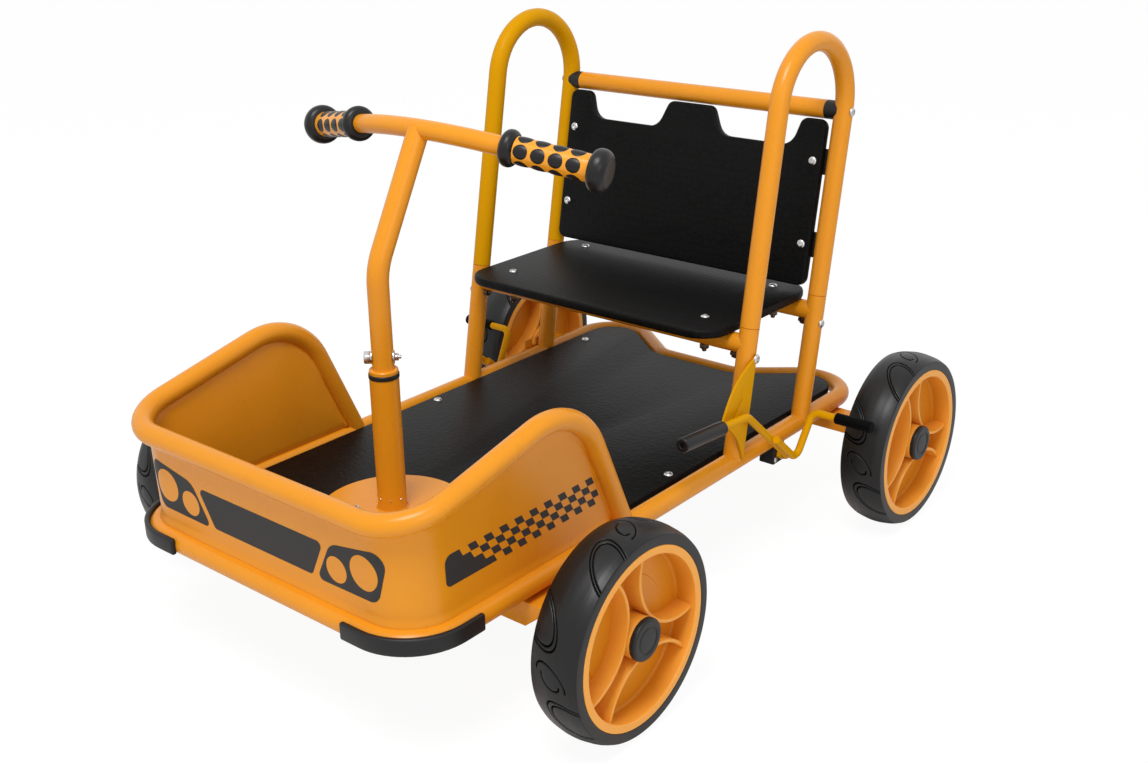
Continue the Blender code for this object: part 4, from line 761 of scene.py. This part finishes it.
for side, sign in sides:
    line = [pivot + Vector((sign * p.x, p.y, p.z)) for p in armLine]
    makePiece("brakeArm_" + side, tubeShape(line, brake["rod"]), "brake", yellowPaint, ["brake_arm_" + side])
    place = facing(pivot + Vector((0, brake["armKneeY"], brake["armKneeZ"])), (sign, 0, 0))
    makePiece("brakeSleeve_" + side, turnedShape(sleeve, place, steps=brake["turnSteps"]), "brake", sleeveBlackAndHoleShade,
              ["brake_sleeve_" + side])
print("brake ready")


wheel = {"width": 0.0588, "rimRadius": 0.102, "rimSeat": 0.0965, "dish": 0.0925, "web": 0.006,
         "webEdge": 0.062, "webStep": 0.0008, "lipDepth": 0.004, "seatDepth": 0.007, "hub": 0.0235,
         "hubInset": 0.0035, "bore": 0.0063,
         "bends": [None, 0.001, 0.002, None, None, 0.004, 0.0016, 0.0008, None, None], "bendDegrees": 12,
         "steps": 120, "palerFrom": 0.08}
halfWidth = wheel["width"] / 2
hubHalf = halfWidth - wheel["hubInset"]
ribs = {"count": 3, "centre": 0.100, "radius": 0.075, "wall": 0.0040, "inset": 0.006,
        "turn": math.radians(42), "sink": 0.0015, "edge": 0.0009, "steps": 32}
cap = {"radius": 0.024, "height": 0.007, "outerLand": 0.70, "grooveOut": 0.66, "grooveIn": 0.58,
       "innerLand": 0.54, "grooveDepth": 0.0010, "innerDrop": 0.0002, "degrees": 15, "steps": 72,
       "bends": [None, 0.0004, 0.0030, 0.0006, 0.0006, 0.0006, 0.0006, None]}
tyre = {"radius": 0.11995, "flat": 0.005, "kneeRadius": 0.1174, "knee": 0.0210, "shoulder": 0.1136,
        "bead": 0.1023, "beadDepth": 0.0043, "heel": 0.0968, "heelDepth": 0.0073,
        "bends": [0.040, 0.030, 0.0022, 0.0004], "bendDegrees": 10}
runMm = math.pi / 180 * 118.5  # millimetres of tread in one degree
sideMm, sideLean, midLean = 29, 0.69, 0.50  # a side mark's centre from the tread's middle, and how marks lean
# a mark is a set of rings on the unrolled tread, in millimetres; a ring with a side is only that half
tread = {"root": 0.1126, "start": 10, "repeat": 90 * runMm, "line": 1.25, "depth": 0.0016, "edge": 29.2,
         "fade": 0.8, "pitch": 0.0009, "steps": 800, "wedges": 16, "halfOverlap": 0.1, "nearest": 0.3,
         "farthest": 1.3,
         "marks": [{"at": 39 * runMm - sideLean * sideMm, "across": sideMm, "halfRun": 12.5 * runMm,
                    "halfAcross": 36, "lean": -sideLean, "rings": ((1.0, 0), (0.86, 0))},
                   {"at": 69 * runMm + sideLean * sideMm, "across": -sideMm, "halfRun": 12.5 * runMm,
                    "halfAcross": 33, "lean": -sideLean, "rings": ((1.0, 0), (0.86, 0))},
                   {"at": 9.7 * runMm, "across": 0, "halfRun": 7.0 * runMm,
                    "halfAcross": 18, "lean": -midLean, "rings": ((1.0, -1), (0.62, 1))}]}


def grooveShare(run, across):  # 1 in the middle of a groove, 0 on the bare tread
    near = tread["line"]
    halfRepeat = tread["repeat"] / 2
    for mark in tread["marks"]:
        along = run + mark["lean"] * across - mark["at"]
        along = (along + halfRepeat) % tread["repeat"] - halfRepeat
        x, y = along / mark["halfRun"], (across - mark["across"]) / mark["halfAcross"]
        reach = math.hypot(x, y)
        if tread["nearest"] < reach < tread["farthest"]:
            growth = math.hypot(x / mark["halfRun"], y / mark["halfAcross"]) / reach
            for size, side in mark["rings"]:
                if not side or side * x > -tread["halfOverlap"]:
                    near = min(near, abs(reach - size) / growth)
    share = 1 - near / tread["line"]
    fade = max(0, min(1, (tread["edge"] - abs(across)) / tread["fade"]))
    return share * share * (3 - 2 * share) * fade


def tyreShape():
    crown = [(tyre["radius"], tyre["flat"]), (tyre["kneeRadius"], tyre["knee"]),
             (tyre["shoulder"], halfWidth), (tyre["bead"], halfWidth)]
    inner = [(tyre["bead"], halfWidth - tyre["beadDepth"]), (tyre["heel"], halfWidth - tyre["heelDepth"])]
    bends = tyre["bends"][::-1] + tyre["bends"]
    section = rounded(flat(otherSide(crown) + crown), bends, tyre["bendDegrees"])
    section += flat(inner + otherSide(inner))
    fine = []  # the tread is cut finely enough to hold its grooves
    for p, q in zip(section, section[1:] + section[:1]):
        onTread = min(p.x, q.x) > tread["root"]
        cuts = math.ceil((q - p).length / tread["pitch"]) if onTread else 1
        fine += [p.lerp(q, k / cuts) for k in range(cuts)]
    profile = [(p.x, p.y) for p in fine]
    shape = turnedShape(profile, Matrix.Identity(4), True, tread["steps"], tread["wedges"])
    # painted shade: the rubber is darker and duller by this share down in the grooves
    groove = shape.verts.layers.float.new("groove")  # read by the rubber
    for v in shape.verts:
        reach = math.hypot(v.co.x, v.co.y)
        if reach > tread["root"]:
            run = (math.degrees(math.atan2(v.co.y, v.co.x)) + tread["start"]) * runMm
            v[groove] = grooveShare(run, v.co.z * 1000)
            shrink = 1 - tread["depth"] * v[groove] / reach
            v.co.x *= shrink
            v.co.y *= shrink
    bmesh.ops.recalc_face_normals(shape, faces=shape.faces)
    return shape


def rimShape():
    web = wheel["web"] / 2
    webFloor = web - wheel["webStep"]
    corners = [(wheel["bore"], hubHalf), (wheel["hub"], hubHalf), (wheel["hub"], web),
               (wheel["webEdge"], web), (wheel["webEdge"] + wheel["webStep"], webFloor),
               (wheel["dish"], webFloor), (wheel["dish"], halfWidth),
               (wheel["rimRadius"], halfWidth), (wheel["rimRadius"], halfWidth - wheel["lipDepth"]),
               (wheel["rimSeat"], halfWidth - wheel["seatDepth"])]
    outer = roundedProfile(corners, wheel["bends"], wheel["bendDegrees"])
    shape = turnedShape(outer + otherSide(outer), Matrix.Identity(4), True, wheel["steps"])
    reach = wheel["dish"] + ribs["sink"]
    centre, radius = ribs["centre"], ribs["radius"]
    spread = math.acos((centre ** 2 + radius ** 2 - reach ** 2) / (2 * centre * radius))
    height = wheel["width"] - 2 * ribs["inset"]
    bends = [math.pi + spread * (2 * i / ribs["steps"] - 1) for i in range(ribs["steps"] + 1)]
    near, far = [[(centre + r * math.cos(a), r * math.sin(a)) for a in bends]
                 for r in (radius - ribs["wall"] / 2, radius + ribs["wall"] / 2)]
    for k in range(ribs["count"]):
        turn = Matrix.Rotation(ribs["turn"] + 2 * math.pi * k / ribs["count"], 4, "Z")
        place = turn @ Matrix.Translation((0, 0, -height / 2))
        addTo(shape, plateShape(near + far[::-1], height, place, ribs["edge"]))
    # painted shade: this height makes the plastic darker down in the dish and paler toward the lip
    rise = shape.verts.layers.float.new("rise")  # from the web to the lip, read by the plastic
    for v in shape.verts:
        v[rise] = max(0, (abs(v.co.z) - web) / (halfWidth - web) - wheel["palerFrom"])
    return shape


def capShape():
    base = hubHalf + clearance
    top = base + cap["height"]
    floor, land, r = top - cap["grooveDepth"], top - cap["innerDrop"], cap["radius"]
    corners = [(0, base), (r, base), (r, top), (r * cap["outerLand"], top), (r * cap["grooveOut"], floor),
               (r * cap["grooveIn"], floor), (r * cap["innerLand"], land), (0, land)]
    profile = roundedProfile(corners, cap["bends"], cap["degrees"])
    return turnedShape(profile, Matrix.Identity(4), steps=cap["steps"])


axleTurn = Matrix.Rotation(math.pi / 2, 4, "Z") @ Matrix.Rotation(math.pi / 2, 4, "X")
outside = {"left": axleTurn, "right": Matrix.Rotation(math.pi, 4, "Z") @ axleTurn}
groovedTyre = tyreShape()
for end in ("front", "rear"):
    for side, sign in sides:
        body = end + "_wheel_" + side
        place = Matrix.Translation(hinge[end + "_" + side + "_spin"]) @ outside[side]
        for part, shape, finish, sharp in (("tyre", groovedTyre.copy(), tyreRubber, 70),
                                           ("rim", rimShape(), rimPlastic, 32),
                                           ("cap", capShape(), blackPlastic, 32)):
            node = body + "_" + part
            bmesh.ops.transform(shape, matrix=place, verts=shape.verts)
            makePiece(node + "Look", shape, body, finish, [node], sharp, merge=part != "tyre")
groovedTyre.free()
print("wheels ready")


# a dome's points are shares of the head's radius and height
screw = {"radius": 0.0060, "height": 0.0024, "socket": 0.0026, "socketDepth": 0.0014, "sink": 0.0004,
         "steps": 24, "socketLip": 1.15, "socketWall": 0.97,
         "dome": [(0.60, 0.93), (0.82, 0.70), (0.95, 0.38), (1, 0.10)]}
nut = {"radius": 0.0062, "height": 0.0060, "edge": 0.0006, "stub": 0.0030, "stubLength": 0.0040,
       "stubTop": 0.8, "stubEdge": 0.0006, "stubSink": 0.001, "stubSteps": 20}


def screwShape(at, way, scale=1.0):
    r, h, s = screw["radius"] * scale, screw["height"] * scale, screw["socket"] * scale
    floor = h - screw["socketDepth"] * scale
    profile = [(0, floor), (s, floor), (s, h * screw["socketWall"]), (s * screw["socketLip"], h)]
    profile += [(r * out, h * up) for out, up in screw["dome"]] + [(r, -screw["sink"])]
    return turnedShape(profile, facing(at, way), steps=screw["steps"])


def nutShape(at, way, scale=1.0, threaded=True):  # a bolt's head has no threaded stub
    r, h = nut["radius"] * scale, nut["height"] * scale
    shape = bmesh.new()
    bmesh.ops.create_cone(shape, cap_ends=True, segments=6, radius1=r, radius2=r, depth=h)
    softenEdges(shape, nut["edge"])
    bmesh.ops.translate(shape, verts=shape.verts, vec=(0, 0, h / 2))
    if threaded:
        s, top = nut["stub"] * scale, h + nut["stubLength"] * scale
        profile = [(0, top), (s * nut["stubTop"], top), (s, top - nut["stubEdge"]), (s, h - nut["stubSink"])]
        addTo(shape, turnedShape(profile, Matrix.Identity(4), steps=nut["stubSteps"]))
    bmesh.ops.transform(shape, matrix=facing(at, way), verts=shape.verts)
    return shape


fixings = {"deckY": (0.272, 0.595), "deckX": (0.200, 0.193), "flange": 0.031, "seatX": 0.164,
           "seatY": (0.399, 0.563), "seatTop": 0.323, "backX": 0.2017, "backUp": (0.053, 0.163),
           "backFootZ": 0.3324, "backGap": 0.0029, "backThick": 0.012, "postDown": 0.037,
           "finThick": 0.0033}
upward = Vector((0, 0, 1))
screws = bmesh.new()
for sign in (1, -1):
    for y, x in zip(fixings["deckY"], fixings["deckX"]):
        addTo(screws, screwShape(spot(sign * x, y, column["boardTop"]), upward))
    for other in (1, -1):
        at = columnAt + Vector((sign * fixings["flange"], other * fixings["flange"], flangeTop))
        addTo(screws, screwShape(at, upward))
    for y in fixings["seatY"]:
        addTo(screws, screwShape(spot(sign * fixings["seatX"], y, fixings["seatTop"]), upward))
makePiece("deckAndSeatScrews", screws, "chassis", steel)

backFoot = postPoint(0, seatFrame["rearY"], fixings["backFootZ"])
backFoot -= postBack * (fixings["backGap"] + fixings["backThick"])
screws = bmesh.new()
nuts = bmesh.new()
for sign in (1, -1):
    outer = Vector((sign, 0, 0))
    for up in fixings["backUp"]:
        addTo(screws, screwShape(backFoot + postUp * up + outer * fixings["backX"], -postBack))
    barEnd = Vector((0, barMiddle.y, barMiddle.z)) + outer * (deck["halfWidth"] + deck["tube"])
    addTo(screws, screwShape(barEnd, outer))
    for end in ("front", "rear"):
        joint = postPoint(sign * deck["halfWidth"], seatFrame[end + "Y"], seatFrame["postTop"])
        joint -= postUp * fixings["postDown"]
        throughFin = end == "front" and sign > 0
        proud = deck["tube"] + (fixings["finThick"] if throughFin else 0)
        addTo(screws, screwShape(joint + outer * proud, outer))
        addTo(nuts, nutShape(joint - outer * deck["tube"], -outer))
        low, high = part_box("seat_cross_" + end)
        addTo(nuts, nutShape(Vector((sign * fixings["seatX"], (low.y + high.y) / 2, low.z)), -upward))
makePiece("frameScrews", screws, "chassis", steel)
makePiece("frameNuts", nuts, "chassis", darkSteel)

stemBolt = {"z": 0.3500, "turn": math.radians(42), "sink": 0.0006, "headScale": 1.25, "nutScale": 0.75,
            "washerBore": 0.0030, "washerRadius": 0.0078, "washerThick": 0.0015, "washerEdge": 0.0004,
            "washerSteps": 32}
radius, thick, edge = stemBolt["washerRadius"], stemBolt["washerThick"], stemBolt["washerEdge"]
washer = [(stemBolt["washerBore"], 0), (radius, 0), (radius, thick - edge), (radius - edge, thick),
          (stemBolt["washerBore"], thick)]
boltWay = Vector((math.cos(stemBolt["turn"]), math.sin(stemBolt["turn"]), 0))
bolts = bmesh.new()
for way, scale, threaded in ((-boltWay, stemBolt["headScale"], False), (boltWay, stemBolt["nutScale"], True)):
    at = columnAt + Vector((0, 0, stemBolt["z"])) + way * (steering["stemRadius"] - stemBolt["sink"])
    addTo(bolts, turnedShape(washer, facing(at, way), True, stemBolt["washerSteps"]))
    addTo(bolts, nutShape(at + way * thick, way, scale, threaded))
makePiece("stemBolt", bolts, "steering", steel)

rivet = {"count": 8, "up": 0.015, "radius": 0.0013, "firstTurn": math.radians(-50), "sink": 0.0004,
         "steps": 12, "dome": [(0, 0.6), (0.6, 0.45)]}
dome = [(rivet["radius"] * out, rivet["radius"] * up) for out, up in rivet["dome"]]
dome.append((rivet["radius"], -rivet["sink"]))
rivets = bmesh.new()
for k in range(rivet["count"]):
    turn = 2 * math.pi * k / rivet["count"] + rivet["firstTurn"]
    way = Vector((math.cos(turn), math.sin(turn), 0))
    at = columnAt + way * column["headRadius"] + Vector((0, 0, flangeTop + rivet["up"]))
    addTo(rivets, turnedShape(dome, facing(at, way), steps=rivet["steps"]))
makePiece("headTubeRivets", rivets, "chassis", steel)

bearing = {"shares": (0.22, 0.78), "up": 0.0055, "scale": 0.62}
screws = bmesh.new()
for side, sign in sides:
    low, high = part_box("brake_bearing_" + side)
    face = high.x if sign > 0 else low.x
    for share in bearing["shares"]:
        at = Vector((face, low.y + (high.y - low.y) * share, low.z + bearing["up"]))
        addTo(screws, screwShape(at, (sign, 0, 0), bearing["scale"]))
makePiece("bearingScrews", screws, "chassis", steel)
print("fasteners ready")


view = {"at": (1.0815, -0.9762, 0.8842), "azimuth": math.radians(39.563), "elevation": math.radians(21.522),
        "roll": math.radians(-0.738), "lens": 42.59, "sensor": 36}
cameraData = bpy.data.cameras.new("camera")
cameraData.sensor_width = view["sensor"]
cameraData.sensor_fit = "HORIZONTAL"
cameraData.lens = view["lens"]
camera = bpy.data.objects.new("camera", cameraData)
bpy.context.scene.collection.objects.link(camera)
back = Vector((math.sin(view["azimuth"]) * math.cos(view["elevation"]),
               -math.cos(view["azimuth"]) * math.cos(view["elevation"]), math.sin(view["elevation"])))
right = (-back).cross(upward).normalized()
above = right.cross(-back)
tilted = math.cos(view["roll"]) * right + math.sin(view["roll"]) * above
top = -math.sin(view["roll"]) * right + math.cos(view["roll"]) * above
turn = Matrix((tilted, top, back)).transposed()
camera.matrix_world = Matrix.Translation(spot(*view["at"])) @ turn.to_4x4()
bpy.context.scene.camera = camera

light = {"sky": 0.52, "aim": (0, 0.2, 0.25),
         "key": {"at": (0.7, -1.2, 3.2), "size": 1.2, "power": 66},
         "fill": {"at": (2.6, -1.0, 1.5), "size": 1.4, "power": 10}}
for name in ("key", "fill"):
    lamp = bpy.data.lights.new(name + "Light", "AREA")
    lamp.size = light[name]["size"]
    lamp.energy = light[name]["power"]
    holder = bpy.data.objects.new(name + "Light", lamp)
    bpy.context.scene.collection.objects.link(holder)
    holder.location = spot(*light[name]["at"])
    holder.rotation_euler = (spot(*light["aim"]) - holder.location).to_track_quat("-Z", "Y").to_euler()

world = bpy.data.worlds.new("studio")
bpy.context.scene.world = world
world.use_nodes = True
tree = world.node_tree
path = addNode(tree, "ShaderNodeLightPath")
seen = addNode(tree, "ShaderNodeMath", {"operation": "MAXIMUM"},
               {0: path.outputs["Is Camera Ray"], 1: path.outputs["Is Glossy Ray"]})
seen = addNode(tree, "ShaderNodeMath", {"operation": "MAXIMUM"},
               {0: seen.outputs["Value"], 1: path.outputs["Is Transmission Ray"]})
strength = addNode(tree, "ShaderNodeMapRange", None,
                   {"Value": seen.outputs["Value"], "To Min": light["sky"], "To Max": 1.0})
background = tree.nodes["Background"]
background.inputs["Color"].default_value = (1, 1, 1, 1)
tree.links.new(strength.outputs["Result"], background.inputs["Strength"])

# matt studio paper: white to the camera, with a faint trace of the shadows that fall on it
ground = {"paper": "#F4F4F4", "rough": 0.9, "glow": 1.04, "shadowShare": 0.10, "half": 12}
floorLook, tree, shader = newMaterial("paleStudioFloor")
shader.inputs["Base Color"].default_value = linear(ground["paper"])
shader.inputs["Roughness"].default_value = ground["rough"]
path = addNode(tree, "ShaderNodeLightPath")
white = addNode(tree, "ShaderNodeEmission", None, {"Color": (1, 1, 1, 1), "Strength": ground["glow"]})
share = addNode(tree, "ShaderNodeMath", {"operation": "MULTIPLY"},
                {0: path.outputs["Is Camera Ray"], 1: 1 - ground["shadowShare"]})
blendNode = addNode(tree, "ShaderNodeMixShader", None,
                    {0: share.outputs["Value"], 1: shader.outputs["BSDF"], 2: white.outputs["Emission"]})
tree.links.new(blendNode.outputs["Shader"], tree.nodes["Material Output"].inputs["Surface"])
shape = bmesh.new()
bmesh.ops.create_grid(shape, x_segments=1, y_segments=1, size=ground["half"])
mesh = bpy.data.meshes.new("floor")
shape.to_mesh(mesh)
shape.free()
mesh.materials.append(floorLook)
floor = bpy.data.objects.new("floor", mesh)
bpy.context.scene.collection.objects.link(floor)
bpy.context.scene.view_settings.view_transform = "Standard"
print("studio ready")
